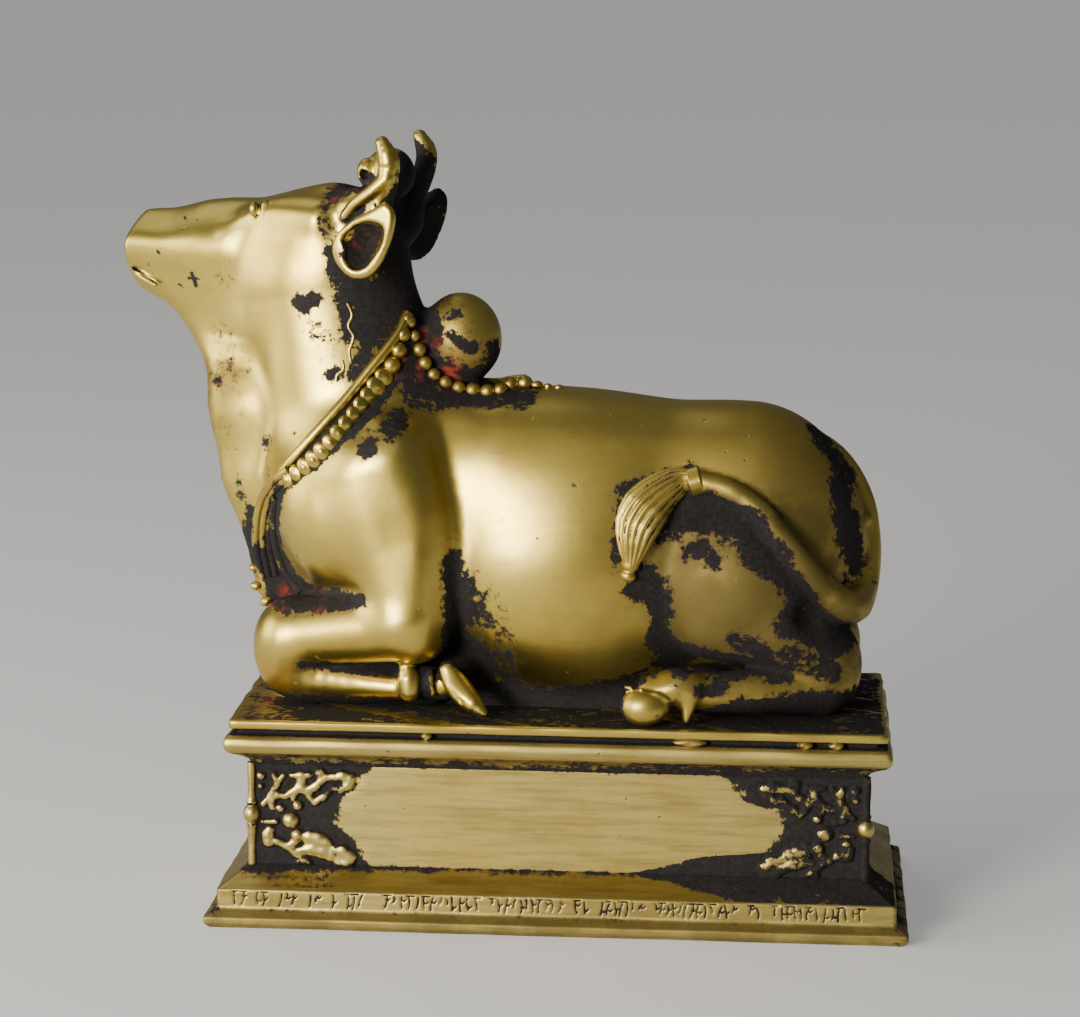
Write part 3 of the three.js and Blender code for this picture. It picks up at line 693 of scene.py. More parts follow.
@dataclass(frozen=True)
class Zone:
    """A round zone where the body's mesh is made finer, its middle in the head's frame or the world's."""

    middle: Vec
    radius: float
    of_head: bool = False


def refine(obj: Piece, shape: Field, middles: Array, radii: Array) -> None:
    """Halves the mesh's faces in round zones and draws the new points onto the surface.

    Args:
        obj: the piece.
        shape: the distance field, in millimetres over the slab's top.
        middles: each zone's middle.
        radii: each zone's radius.
    """
    work = bmesh.new()
    work.from_mesh(obj.data)

    def zoned(places: Array, room: float) -> Array:
        away = np.linalg.norm(places[:, None] - middles[None], axis=2) - radii
        return away.min(axis=1) < room

    centres = np.array([face.calc_center_median() for face in work.faces]) / MM - BASE
    edges = {edge for face, hit in zip(work.faces, zoned(centres, 0.0)) if hit for edge in face.edges}
    bmesh.ops.subdivide_edges(work, edges=list(edges), cuts=1, use_grid_fill=True)
    places = np.array([vert.co for vert in work.verts]) / MM - BASE
    near = zoned(places, 1.0)
    places[near] = drawn_onto(shape, places[near], limit=0.25, step=0.02)
    for vert, place in zip(work.verts, (places + BASE) * MM):
        vert.co = place
    work.to_mesh(obj.data)
    work.free()
    obj.data.shade_smooth()


def linked(name: str, data: bpy.types.ID) -> Piece:
    """Puts new data into the scene as an object."""
    obj = bpy.data.objects.new(name, data)
    bpy.context.scene.collection.objects.link(obj)
    return obj


def new_mesh(name: str, points: Array, faces: Iterable[Sequence[int]], lift: float = SLAB_TOP) -> Piece:
    """Makes a smooth-shaded mesh object.

    Args:
        name: the object's name.
        points: its points in millimetres.
        faces: its faces.
        lift: how high over the floor the points are counted from.

    Returns:
        The object.
    """
    mesh = bpy.data.meshes.new(name)
    places = ((points + np.array([0, 0, lift])) * MM).tolist()
    mesh.from_pydata(places, [], [list(map(int, face)) for face in faces])
    mesh.shade_smooth()
    mesh.validate()
    return linked(name, mesh)


def ring_faces(rows: int, sides: int) -> list[list[int]]:
    """Joins rings of points into a closed skin. Its two end points are counted after the rings.

    Args:
        rows: how many rings there are.
        sides: how many points each ring has.

    Returns:
        The faces.
    """
    faces = []
    first, last = rows * sides, (rows - 1) * sides
    for s in range(sides):
        t = (s + 1) % sides
        faces += [[i + s, i + t, i + sides + t, i + sides + s] for i in range(0, last, sides)]
        faces += [[first, t, s], [first + 1, last + s, last + t]]
    return faces


def bump(away: Array | float, width: float) -> Array | float:
    """A soft bump: 1 where nothing lies between, next to nothing two widths away."""
    return np.exp(-((away / width) ** 2))


def sweep(line: Array, radius: Callable[[float, Array], Array], sides: int,
          flat: float = 1.0) -> tuple[Array, list[list[int]]]:
    """Sweeps a section along a line and closes its ends.

    Args:
        line: the points it follows.
        radius: gives the section's radii from the share run and the angles.
        sides: how many points a section has.
        flat: how much the section is flattened along Y.

    Returns:
        The points and the faces, which face outward.
    """
    angles = 2 * np.pi * np.arange(sides) / sides
    ahead = np.gradient(line, axis=0)
    ahead /= np.linalg.norm(ahead, axis=1)[:, None]
    out = OUTWARD - ahead * (ahead @ OUTWARD)[:, None]
    out /= np.linalg.norm(out, axis=1)[:, None]
    across = np.cross(ahead, out)
    points = []
    for n, centre in enumerate(line):
        r = radius(n / (len(line) - 1), angles)
        section = np.outer(r * np.cos(angles) * flat, out[n])
        points.append(centre + section + np.outer(r * np.sin(angles), across[n]))
    return np.vstack([*points, line[:1], line[-1:]]), ring_faces(len(line), sides)


# Dirt and wear, written on each piece's points


class Coat(Enum):
    """What lies on the metal in a stain."""

    GRIME = "grime"
    POWDER = "powder"


@dataclass(frozen=True)
class Stain:
    """A stain along a line from (x, z) to (to_x, to_z), drawn in profile, on the left side or on both."""

    x: float
    z: float
    to_x: float
    to_z: float
    radius: float
    strength: float
    fringe: float = 0.6
    behind: float = -FAR

    def cover(self, p: Array) -> Array:
        """How much of the stain lies on each point: full in its core, thin and broken round it."""
        ends = np.array([[self.x, self.z], [self.to_x, self.to_z]])
        away = on_segment(p[:, [0, 2]], *ends)[1] / self.radius
        edge = min(self.fringe, self.strength)
        core = edge + (self.strength - edge) * np.clip(CORE_SLOPE - CORE_SLOPE * away, 0, 1)
        halo = edge * np.clip(1 - (away - 1) * self.radius / (HALO_LEAST + HALO_SHARE * self.radius), 0, 1)
        return np.where(away < 1, core, halo) * (p[:, 1] > self.behind)


@dataclass
class Weather:
    """Where a century of oil, soot and red powder stays on the bull, and where its film is darkened as
    painted shade.
    """

    grime: tuple[tuple[float, ...], ...] = (
        # Ear, horns and cheek
        (-52, 105, -43, 107, 5.0, 0.95), (-46, 104, -42, 106, 5.0, 1.5),
        (-42, 131, -42, 108, 5.0, 1.6, 0.6, -16.5), (-38, 133, -38, 112, 9.0, 1.6, 0.6, 4),
        (-52.4, 117, -48, 123.8, 3.7, 1.02, 0.6, -22.9), (-57, 111, -54, 96, 2.2, 1.0, 0.75),
        (-50, 97, -44, 101, 3.4, 1.1), (-49, 95, -54, 87, 1.8, 1.0), (-59, 86, -57, 87, 1.8, 1.15),
        (-67, 104, -64, 105, 2.2, 1.2), (-65, 102, -60, 92, 2.2, 0.42), (-62, 128, -58.5, 117, 1.2, 0.5),
        (-60, 117, -58, 108, 1.2, 1.0), (-55, 127, -47, 132, 1.2, 1.2, 0.6, -14.2),
        (-60, 131, -50, 134.5, 1.4, 0.8, 0.6, -12), (-40, 142, -41, 131, 3.0, 1.5, 0.6, -10),
        (-41, 137.4, -42.2, 131, 0.7, 1.1), (-38, 137, -38, 121, 3.4, 1.6, 0.6, -10),
        # Garland and breast
        (-45, 83, -53, 73, 1.5, 1.2), (-53, 73, -69, 60, 1.1, 1.1), (-74, 54, -77, 41, 1.0, 1.2),
        (-77, 41, -69, 27, 1.5, 1.3), (-82, 49, -83, 40, 1.0, 0.9), (-81, 37, -72, 27, 3.0, 1.5),
        (-41, 76, -41, 74, 1.6, 1.05), (-47, 71, -49, 69, 2.0, 1.1), (-44, 75, -43, 72, 1.2, 0.9),
        (-43, 86, -36, 88, 1.8, 1.2), (-46.8, 88, -58, 73.7, 1.0, 1.15), (-58, 73.7, -68, 63, 0.8, 1.0),
        # Throat
        (-91, 92, -86, 72, 2.0, 0.16, 0.16), (-77, 68, -77, 59, 0.6, 0.3, 0.3),
        (-86, 60, -84, 51, 0.8, 0.45), (-73, 57, -78, 30, 1.8, 0.95),
        # Hump and its strand
        (-39, 104, -34, 96, 3.2, 1.45), (-29, 96, -28, 96, 1.7, 1.1), (-26, 94, -24, 93, 1.9, 1.2),
        (-33, 101, -23, 86, 5.0, 0.5), (-19, 93, -17, 88, 1.2, 0.8), (-34, 86, -10, 84.5, 2.0, 1.3),
        (-41, 92, -36, 85, 2.0, 1.4), (-31, 80, -9, 80, 1.5, 0.95), (-39, 82, -32, 79, 1.8, 0.7),
        # Foreleg
        (-68, 26, -50, 30, 1.1, 1.3), (-27, 40, -27, 18, 2.0, 1.35),
        (-25, 17, -21, 3, 3.5, 1.6, 0.6, -23.5), (-22, 8, -16.5, 1.5, 0.9, 1.2, 0.6, -22),
        (-21, 33, -15, 13, 4.4, 0.55), (-21, 3, 0, 1, 2.8, 1.6, 0.6, -24), (0, 1, 16, 5, 2.8, 1.5),
        (-78, 0.6, -35, 0.2, 1.2, 1.5), (-67, 11.6, -42, 10.8, 0.9, 1.5),
        (-34.6, 12, -34.6, 0, 0.8, 1.3, 0.6, -25), (-31, 12, -29, 0, 2.4, 1.4, 0.6, -23),
        # Thigh, tail and hind foot
        (21, 39, 24.5, 30, 2.2, 1.5), (24.5, 30, 25.5, 20, 1.2, 1.35), (25.5, 20, 30, 14.5, 2.4, 1.5),
        (18, 34, 23, 37, 2.0, 1.3), (15.4, 60, 14.4, 40, 1.1, 1.0), (17, 60, 33, 65, 0.9, 1.0),
        (25, 52, 35, 56, 4.2, 1.6), (35, 56, 46, 52, 4.2, 1.6), (46, 52, 54, 43, 3.4, 1.5),
        (54, 43, 62, 33, 2.2, 1.5), (39, 43, 39, 42, 0.9, 1.0), (36, 46, 33, 44, 1.2, 0.8),
        (60, 27, 71, 21, 3.8, 1.6), (70, 60, 75, 39, 2.4, 1.1), (64, 73, 73, 60, 1.5, 0.85),
        (38, 3.4, 74, 4, 3.1, 1.6, 0.6, -27.5), (37, 9, 42, 10, 1.5, 0.95), (44, 12, 58, 11, 0.8, 0.5),
        (45, 22, 52, 19, 1.5, 0.6), (29, 18.6, 58, 13.6, 0.9, 1.2), (7, 3, 14, 0, 2.2, 1.4, 0.6, -26),
        (22, 11, 17, 9, 0.5, 1.1, 0.3), (30.5, 6, 31, 1, 1.2, 1.2, 0.6, -29),
        (30, 10.6, 24, 12.6, 0.9, 0.9, 0.4), (59, 18, 69, 13, 2.0, 0.6), (26, 36, 27, 28, 1.4, 0.8),
        # Muzzle
        (-98, 109.6, -97, 106.6, 0.6, 1.3, 0.3), (-98.8, 108.4, -95.8, 108.4, 0.3, 1.2, 0.3),
        (-107, 115.4, -107, 114.8, 0.6, 1.05, 0.4), (-101, 124, -100, 123, 0.4, 1.0, 0.3),
        (-95, 119, -87, 109, 3.0, 0.22), (-102, 106.5, -100.6, 105.6, 0.4, 0.8, 0.3),
    )
    powder: tuple[tuple[float, ...], ...] = (
        (-91, 92, -86, 80, 2.0, 0.7), (-32, 92, -28, 85, 2.2, 1.0), (-42, 89, -38, 88, 1.8, 0.9),
        (-36, 95, -35, 93, 1.0, 0.8), (-73, 27, -72, 27, 1.0, 0.9), (-64, 28, -63, 28, 1.0, 0.9),
        (-77, 1, -75, 1, 1.0, 0.8), (-90, 116, -89, 111, 1.0, 0.7), (-59, 131, -53, 133, 1.5, 0.5),
        (-50.6, 121.4, -49.4, 120.4, 1.1, 0.95),
    )
    rubbed: tuple[tuple[Vec, float, float], ...] = (
        ((22, -32, 5.4), 6.8, 1.0), ((33, -29, 4.6), 3.4, 0.9), ((-25, -27, 7), 5.5, 0.9),
        ((-39, -25, 9), 4.0, 0.9), ((28, -29, 11), 5.0, 0.7), ((-55, -23.5, 115), 2.6, 0.8))
    reaches: tuple[float, ...] = (0.7, 1.4, 2.8, 5.6, 11.0)
    groove_dark: float = 0.75
    far_side: float = 0.8
    # Films: (x, z) middle, radius, strength. Partly painted shade: those on the thigh, the rump and the back
    # darken the brass and dull its highlight where shade falls.
    films_and_shade: tuple[tuple[Pair, float, float], ...] = (
        ((48, 36), 22, 2.4), ((72, 20), 14, 1.4), ((66, 58), 20, 0.9), ((-27, 92), 10, 1.0),
        ((20, 66), 26, 0.25), ((20, 20), 16, 0.6), ((-88, 76), 8, 0.8), ((-76, 40), 6, 0.9))

    def hollow(self, around: Field, points: Array, normals: Array) -> Array:
        """How closed in each point is: 0 in the open, 1 in a deep crease."""
        shut = [np.clip(1 - around(points + normals * h) / h, 0, 1.2) for h in self.reaches]
        return np.mean(shut, axis=0)

    def cover(self, points: Array, coat: Coat) -> Array:
        """How much of a coat lies on each point."""
        layers = [Stain(*row).cover(points) for row in (self.grime if coat is Coat.GRIME else self.powder)]
        return np.max(layers, axis=0) * np.where(points[:, 1] > 6, self.far_side, 1.0)

    def settle_on(self, obj: Piece, around: Field, share: float = 1.0, held: float = 1.0) -> None:
        """Writes the hollows, stains and film, with the film's painted shade, on a piece's points.

        Args:
            obj: the piece.
            around: how far each point lies from what shades it.
            share: how much its hollows count.
            held: how much of the stains it holds.
        """
        points, normals = piece_points(obj)
        points[:, 2] -= SLAB_TOP
        kept = 1 - self.rub(points)
        grime = kept * held * self.cover(points, Coat.GRIME)
        if "groove" in obj.data.attributes:
            grooves = np.empty(len(points))
            obj.data.attributes["groove"].data.foreach_get("value", grooves)
            grime = grime + self.groove_dark * grooves
        soil(obj, hollow=kept * share * self.hollow(around, points, normals), grime=grime,
             powder=self.cover(points, Coat.POWDER), film=self.film(points))

    def rub(self, points: Array) -> Array:
        """How much of the dirt is rubbed off at each point, on the high places that hands reach."""
        rub = np.zeros(len(points))
        for middle, radius, share in self.rubbed:
            away = np.linalg.norm(points - np.array(middle), axis=1) / radius
            rub = np.maximum(rub, share * np.clip(3 - 3 * away, 0, 1))
        return rub

    def film(self, points: Array) -> Array:
        """How dull the brass is under its thin brown film, and how much painted shade darkens it on the rump,
        the thigh and the back: most on the rump, the thigh and the hump.
        """
        film = np.zeros(len(points))
        for (x, z), radius, strength in self.films_and_shade:
            away = np.hypot(points[:, 0] - x, points[:, 2] - z) / radius
            film = np.maximum(film, strength * np.clip(1.6 - away, 0, 1))
        return film


def piece_points(obj: Piece) -> tuple[Array, Array]:
    """A piece's points, in millimetres from the ground, and their normals."""
    mesh = obj.data
    points = np.empty(len(mesh.vertices) * 3)
    normals = np.empty(len(mesh.vertices) * 3)
    mesh.vertices.foreach_get("co", points)
    mesh.vertex_normals.foreach_get("vector", normals)
    return points.reshape(-1, 3) / MM, normals.reshape(-1, 3)


def write(obj: Piece, name: str, values: Array | float) -> None:
    """Writes one number for each point of a piece."""
    layer = obj.data.attributes.new(name, "FLOAT", "POINT")
    layer.data.foreach_set("value", (np.ones(len(obj.data.vertices)) * values).astype(np.float32))


def soil(obj: Piece, hollow: Array | float = 0.0, grime: Array | float = 0.0,
         powder: Array | float = 0.0, film: Array | float = 0.0) -> None:
    """Writes how closed in, how grimy, how powdered and how dull a piece is at its points, the dullness
    carrying painted shade too.
    """
    for name, values in (("hollow", hollow), ("grime", grime), ("powder", powder), ("film", film)):
        write(obj, name, values)


# Finishes


Inputs = dict[str | int, object]


class Wiring:
    """Adds nodes to a tree and joins their sockets."""

    def __init__(self, tree: bpy.types.NodeTree) -> None:
        """Keeps the tree that the nodes go into."""
        self.tree = tree

    def fill(self, node: bpy.types.Node, inputs: Inputs) -> None:
        """Joins sockets, or plain values, to a node's inputs."""
        for name, value in inputs.items():
            if isinstance(value, Socket):
                self.tree.links.new(value, node.inputs[name])
            else:
                node.inputs[name].default_value = value

    def add(self, kind: str, inputs: Inputs | None = None, **settings: object) -> bpy.types.Node:
        """Adds a node with its inputs filled, and with its own settings given by name."""
        node = self.tree.nodes.new(kind)
        for name, value in settings.items():
            setattr(node, name, value)
        self.fill(node, inputs or {})
        return node

    def run(self, kind: str, inputs: Inputs | None = None, output: str | int = 0,
            **settings: object) -> Socket:
        """Adds a node as above and gives back one of its outputs."""
        return self.add(kind, inputs, **settings).outputs[output]

    def maths(self, operation: str, a: object, b: object, clamp: bool = False) -> Socket:
        """One sum of two numbers or sockets."""
        return self.run("ShaderNodeMath", {0: a, 1: b}, operation=operation, use_clamp=clamp)

    def plus(self, *terms: object, clamp: bool = False) -> Socket:
        """The total of numbers and sockets, held between 0 and 1 if so told."""
        total = terms[0]
        for n, term in enumerate(terms[1:], 2):
            total = self.maths("ADD", total, term, clamp and n == len(terms))
        return total

    def times(self, *factors: object) -> Socket:
        """The product of numbers and sockets."""
        product = factors[0]
        for factor in factors[1:]:
            product = self.maths("MULTIPLY", product, factor)
        return product

    def ramp(self, value: object, low: float, high: float) -> Socket:
        """Runs from 0 at low to 1 at high, eased at both ends."""
        return self.run("ShaderNodeMapRange", {"Value": value, "From Min": low, "From Max": high},
                        interpolation_type="SMOOTHSTEP")

    def noise(self, at: Socket, size_mm: float, detail: float, roughness: float) -> Socket:
        """Noise whose largest forms are about so many millimetres across."""
        inputs = {"Vector": at, "Scale": 1000.0 / size_mm, "Detail": detail, "Roughness": roughness}
        return self.run("ShaderNodeTexNoise", inputs, "Fac")

    def mix(self, share: object, a: object, b: object) -> Socket:
        """One colour laid over another by a share."""
        return self.run("ShaderNodeMix", {0: share, 6: a, 7: b}, 2, data_type="RGBA")


def open_sockets(tree: bpy.types.NodeTree, side: str, kind: str, *names: str) -> None:
    """Opens named sockets of one kind on a tree's input or output side."""
    for name in names:
        tree.interface.new_socket(name, in_out=side, socket_type=f"NodeSocket{kind}")


Colour = tuple[float, float, float, float]


@dataclass(frozen=True)
class Patina:
    """The shared patina: ragged dark skin over worn metal, with brown fringes, pits and red powder.

    Each noise is its size in millimetres, its detail and its roughness. Each edge is where a layer
    starts and where it is full.
    """

    ragged: Vec = (7.0, 9.0, 0.7)
    flecks: Vec = (1.7, 6.0, 0.65)
    drift: Vec = (60.0, 3.0, 0.5)
    tone: Vec = (18.0, 5.0, 0.6)
    pits: Vec = (3.4, 2.0, 0.5)
    patches: Vec = (12.0, 8.0, 0.65)
    streaks: Vec = (1.6, 6.0, 0.7)
    grain: Vec = (1.1, 4.0, 0.6)
    dust: Vec = (4.2, 7.0, 0.68)
    swell: Vec = (5.0, 6.0, 0.55)
    streak_stretch: Vec = (0.07, 0.4, 1.0)
    skin_edge: Pair = (0.72, 0.80)
    fringe_edge: Pair = (0.50, 0.78)
    pit_edge: Pair = (0.79, 0.83)
    warm_edge: Pair = (0.35, 0.7)
    patch_edge: Pair = (0.3, 0.6)
    streak_edge: Pair = (0.38, 0.72)
    grain_edge: Pair = (0.3, 0.75)
    dust_edge: Pair = (0.47, 0.62)
    grain_colour: Colour = (0.034, 0.028, 0.025, 1)
    hollow_weight: float = 1.15
    grime_weight: float = 1.1
    film_and_shade_weight: float = 0.14
    raggedness: Pair = (0.72, 0.9)
    pit_dark: float = 0.85
    fringe_dark: float = 0.75
    cloud_dark: float = 0.85
    least_red: float = 0.25

    def group(self) -> bpy.types.NodeTree:
        """Builds the node group that every finish shares.

        Returns:
            A node group that puts out a colour, a roughness, a metallic share and a height.
        """
        group = bpy.data.node_groups.new("patina", "ShaderNodeTree")
        open_sockets(group, "INPUT", "Color", "Metal", "Warm", "Tarnish", "Skin", "Fringe", "Powder")
        open_sockets(group, "INPUT", "Float", "Hollow", "Grime", "Dust", "Film", "Polish", "Brushed")
        open_sockets(group, "OUTPUT", "Color", "Color")
        open_sockets(group, "OUTPUT", "Float", "Roughness", "Metallic", "Height")
        w = Wiring(group)
        plus, times = w.plus, w.times
        given = w.add("NodeGroupInput").outputs
        place = w.run("ShaderNodeTexCoord", output="Object")
        ragged, flecks, tone = (w.noise(place, *noise) for noise in (self.ragged, self.flecks, self.tone))
        raw = plus(self.raggedness[0], times(w.maths("MINIMUM", given["Grime"], 1.0), self.raggedness[1]))
        speckle = plus(times(plus(ragged, -0.5), 2.0), times(plus(flecks, -0.5), 1.5))
        deep = plus(times(given["Hollow"], self.hollow_weight), times(given["Grime"], self.grime_weight),
                    times(speckle, raw), times(given["Film"], self.film_and_shade_weight))
        fringe = w.ramp(deep, *self.fringe_edge)
        drift = times(w.noise(place, *self.drift), 0.12)
        pits = w.ramp(plus(w.noise(place, *self.pits), drift), *self.pit_edge)
        skin = w.maths("MAXIMUM", w.ramp(deep, *self.skin_edge), times(pits, self.pit_dark))
        metal = w.mix(w.ramp(tone, *self.warm_edge), given["Metal"], given["Warm"])
        patches = times(w.ramp(w.noise(place, *self.patches), *self.patch_edge), 0.45)
        # Painted shade: the film layer mixes the metal towards the dark tarnish colour, which darkens the
        # thigh, the rump and the back as well as dulling them.
        cloud = times(given["Film"], plus(patches, 0.45))
        metal = w.mix(w.maths("MULTIPLY", cloud, self.cloud_dark, clamp=True), metal, given["Tarnish"])
        along = w.run("ShaderNodeVectorMath", {0: place, 1: self.streak_stretch}, operation="MULTIPLY")
        brushed = times(given["Brushed"], w.ramp(w.noise(along, *self.streaks), *self.streak_edge))
        metal = w.mix(brushed, metal, given["Tarnish"])
        colour = w.mix(times(fringe, self.fringe_dark), metal, given["Fringe"])
        grain = w.ramp(w.noise(place, *self.grain), *self.grain_edge)
        colour = w.mix(skin, colour, w.mix(times(grain, 0.5), given["Skin"], self.grain_colour))
        red = times(given["Dust"], w.ramp(w.noise(place, *self.dust), *self.dust_edge),
                    plus(self.least_red, times(fringe, 1 - self.least_red)))
        rough = plus(given["Polish"], times(plus(tone, -0.5), 0.16), times(fringe, 0.14), times(cloud, 0.2),
                     times(skin, 0.26), times(red, 0.3), clamp=True)
        bare = plus(1.0, times(skin, -0.96), times(cloud, -0.2), times(red, -0.8), clamp=True)
        height = plus(times(w.noise(place, *self.swell), 0.35), times(skin, -0.16), times(grain, skin, 0.35),
                      times(pits, -0.4))
        w.add("NodeGroupOutput", {"Color": w.mix(red, colour, given["Powder"]), "Roughness": rough,
                                  "Metallic": bare, "Height": height})
        return group


@dataclass(frozen=True)
class AgedBrass:
    """Worn olive-gold brass under a dark skin that stays in its hollows."""

    name: str
    metal: Colour = (0.62, 0.475, 0.105, 1)
    warm: Colour = (0.53, 0.375, 0.075, 1)
    skin: Colour = (0.009, 0.0075, 0.0075, 1)
    # The tarnish colour serves real tarnish on the brushed streaks and painted shade under the film.
    tarnish_and_shade: Colour = (0.15, 0.112, 0.03, 1)
    fringe: Colour = (0.12, 0.072, 0.03, 1)
    powder: Colour = (0.25, 0.035, 0.018, 1)
    polish: float = 0.34
    brushed: float = 0.12
    relief: float = 0.00022
    relief_strength: float = 0.8
    sheen: float = 0.22

    def material(self, group: bpy.types.NodeTree) -> bpy.types.Material:
        """Builds the material around the shared patina."""
        material = bpy.data.materials.new(self.name)
        material.use_nodes = True
        w = Wiring(material.node_tree)
        inputs: Inputs = {
            "Metal": self.metal, "Warm": self.warm, "Tarnish": self.tarnish_and_shade, "Skin": self.skin,
            "Fringe": self.fringe, "Powder": self.powder, "Polish": self.polish, "Brushed": self.brushed}
        for socket, layer in (("Hollow", "hollow"), ("Grime", "grime"), ("Dust", "powder"), ("Film", "film")):
            inputs[socket] = w.run("ShaderNodeAttribute", output="Fac", attribute_name=layer)
        patina = w.add("ShaderNodeGroup", inputs, node_tree=group).outputs
        relief = {"Distance": self.relief, "Strength": self.relief_strength, "Height": patina["Height"]}
        w.fill(material.node_tree.nodes["Principled BSDF"], {
            "Base Color": patina["Color"], "Roughness": patina["Roughness"], "Metallic": patina["Metallic"],
            "Normal": w.run("ShaderNodeBump", relief, "Normal"), "Specular IOR Level": self.sheen})
        return material


def finish_piece(obj: Piece, material: bpy.types.Material, node: str, slot: str) -> None:
    """Gives a piece its finish and its body, and hides the imported part that it stands in for."""
    obj.data.materials.clear()
    obj.data.materials.append(material)
    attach(obj, BODY)
    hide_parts(node)
    log.info("%s: %d points", obj.name, len(obj.data.vertices))


# What repeats along a line


@dataclass(frozen=True)
class Row:
    """Copies of one small form, set along a line on the bull and turned to follow it."""

    name: str
    count: int
    size_start: float
    size_end: float
    unevenness: float = 0.08
    seed: int = 1

    def copies(self, w: Wiring, given: Mapping[str, Socket]) -> Socket:
        """Adds the nodes that set the copies along the line, each a little off its even size."""
        line = {"Curve": given["Line"], "Count": given["Count"]}
        spots = w.add("GeometryNodeCurveToPoints", line, mode="COUNT").outputs
        share = w.maths("DIVIDE", w.run("GeometryNodeInputIndex"), w.maths("SUBTRACT", given["Count"], 1))
        step = w.maths("SUBTRACT", given["Size at end"], given["Size at start"])
        least_most = {2: -1.0, 3: 1.0, "Seed": given["Seed"]}
        stray = w.run("FunctionNodeRandomValue", least_most, 1, data_type="FLOAT")
        size = w.times(w.plus(given["Size at start"], w.times(share, step)),
                       w.plus(1.0, w.times(stray, given["Unevenness"])))
        form = w.run("GeometryNodeObjectInfo", {"Object": given["Form"]}, "Geometry")
        return w.run("GeometryNodeInstanceOnPoints", {
            "Points": spots["Points"], "Instance": form, "Rotation": spots["Rotation"], "Scale": size})

    def build(self, line: Array, form: Piece, material: bpy.types.Material) -> Piece:
        """Makes the row as one plain mesh."""
        return grown(self.name, line, self.copies, {
            "Form": ("Object", form), "Count": ("Int", self.count), "Seed": ("Int", self.seed),
            "Size at start": ("Float", self.size_start), "Size at end": ("Float", self.size_end),
            "Unevenness": ("Float", self.unevenness), "Finish": ("Material", material)})


@dataclass(frozen=True)
class Cord:
    """A round cord along a line on the bull."""

    name: str
    radius: float
    steps: int = 90
    sides: int = 14

    def tube(self, w: Wiring, given: Mapping[str, Socket]) -> Socket:
        """Adds the nodes that thicken the line."""
        even = w.run("GeometryNodeResampleCurve", {"Curve": given["Line"], "Count": given["Steps"]})
        section = {"Resolution": self.sides, "Radius": given["Radius"]}
        ring = w.run("GeometryNodeCurvePrimitiveCircle", section)
        tube = w.run("GeometryNodeCurveToMesh", {"Curve": even, "Profile Curve": ring, "Fill Caps": True})
        return w.run("GeometryNodeSetShadeSmooth", {"Geometry": tube})

    def build(self, line: Array, material: bpy.types.Material) -> Piece:
        """Makes the cord as one plain mesh."""
        return grown(self.name, line, self.tube, {
            "Radius": ("Float", self.radius * MM), "Steps": ("Int", self.steps),
            "Finish": ("Material", material)})


def grown(name: str, line: Array, grow: Callable[..., Socket],
          inputs: dict[str, tuple[str, object]]) -> Piece:
    """Grows a piece along a line with geometry nodes and keeps it as a plain mesh.

    Args:
        name: the new piece's name.
        line: the points of the line, in millimetres over the slab's top.
        grow: adds the nodes that make the piece, from the wiring and the tree's inputs.
        inputs: the tree's named inputs, each with its kind and its value.

    Returns:
        The piece, with no modifier on it.
    """
    tree = bpy.data.node_groups.new(f"{name}_nodes", "GeometryNodeTree")
    open_sockets(tree, "INPUT", "Geometry", "Line")
    for socket, (kind, _) in inputs.items():
        open_sockets(tree, "INPUT", kind, socket)
    open_sockets(tree, "OUTPUT", "Geometry", "Grown")
    w = Wiring(tree)
    given = w.add("NodeGroupInput").outputs
    real = w.run("GeometryNodeRealizeInstances", {"Geometry": grow(w, given)})
    dressed = w.run("GeometryNodeSetMaterial", {"Geometry": real, "Material": given["Finish"]})
    w.add("NodeGroupOutput", {"Grown": dressed})
    curve = bpy.data.curves.new(f"{name}_line", "CURVE")
    curve.dimensions = "3D"
    curve.twist_mode = "Z_UP"
    spline = curve.splines.new("POLY")
    spline.points.add(len(line) - 1)
    at = (line + BASE) * MM
    spline.points.foreach_set("co", np.column_stack([at, np.ones(len(at))]).ravel())
    source = linked(f"{name}_source", curve)
    modifier = source.modifiers.new("grow", "NODES")
    modifier.node_group = tree
    for item in tree.interface.items_tree:
        if item.name in inputs:
            modifier[item.identifier] = inputs[item.name][1]
    bpy.context.view_layer.update()
    evaluated = source.evaluated_get(bpy.context.evaluated_depsgraph_get())
    mesh = bpy.data.meshes.new_from_object(evaluated)
    source.modifiers.remove(modifier)
    bpy.data.objects.remove(source)
    return linked(name, mesh)


def round_form(name: str, radii: Vec, stamp: float = 0.0) -> Piece:
    """A small rounded form to copy, one millimetre to its unit.

    Args:
        name: the form's name.
        radii: half its sizes, along the row, across it and outward.
        stamp: how deep a ring is struck into its outer and inner face, as a share.

    Returns:
        The form, which is removed once its copies are made.
    """
    rows, sides = 11, 18
    tilt = np.pi * np.arange(1, rows) / rows
    turn = 2 * np.pi * np.arange(sides) / sides
    t, a = np.meshgrid(tilt, turn, indexing="ij")
    dent = 1 - stamp * bump(np.sin(t) - 0.55, 0.17)
    body = np.stack([np.cos(t) * dent, np.sin(t) * np.cos(a), np.sin(t) * np.sin(a)], -1).reshape(-1, 3)
    points = np.vstack([body, [[1.0, 0, 0]], [[-1.0, 0, 0]]]) * np.array(radii)[::-1]
    faces = [[face[0], *face[:0:-1]] for face in ring_faces(rows - 1, sides)]
    return new_mesh(name, points, faces, lift=0.0)


# The bull


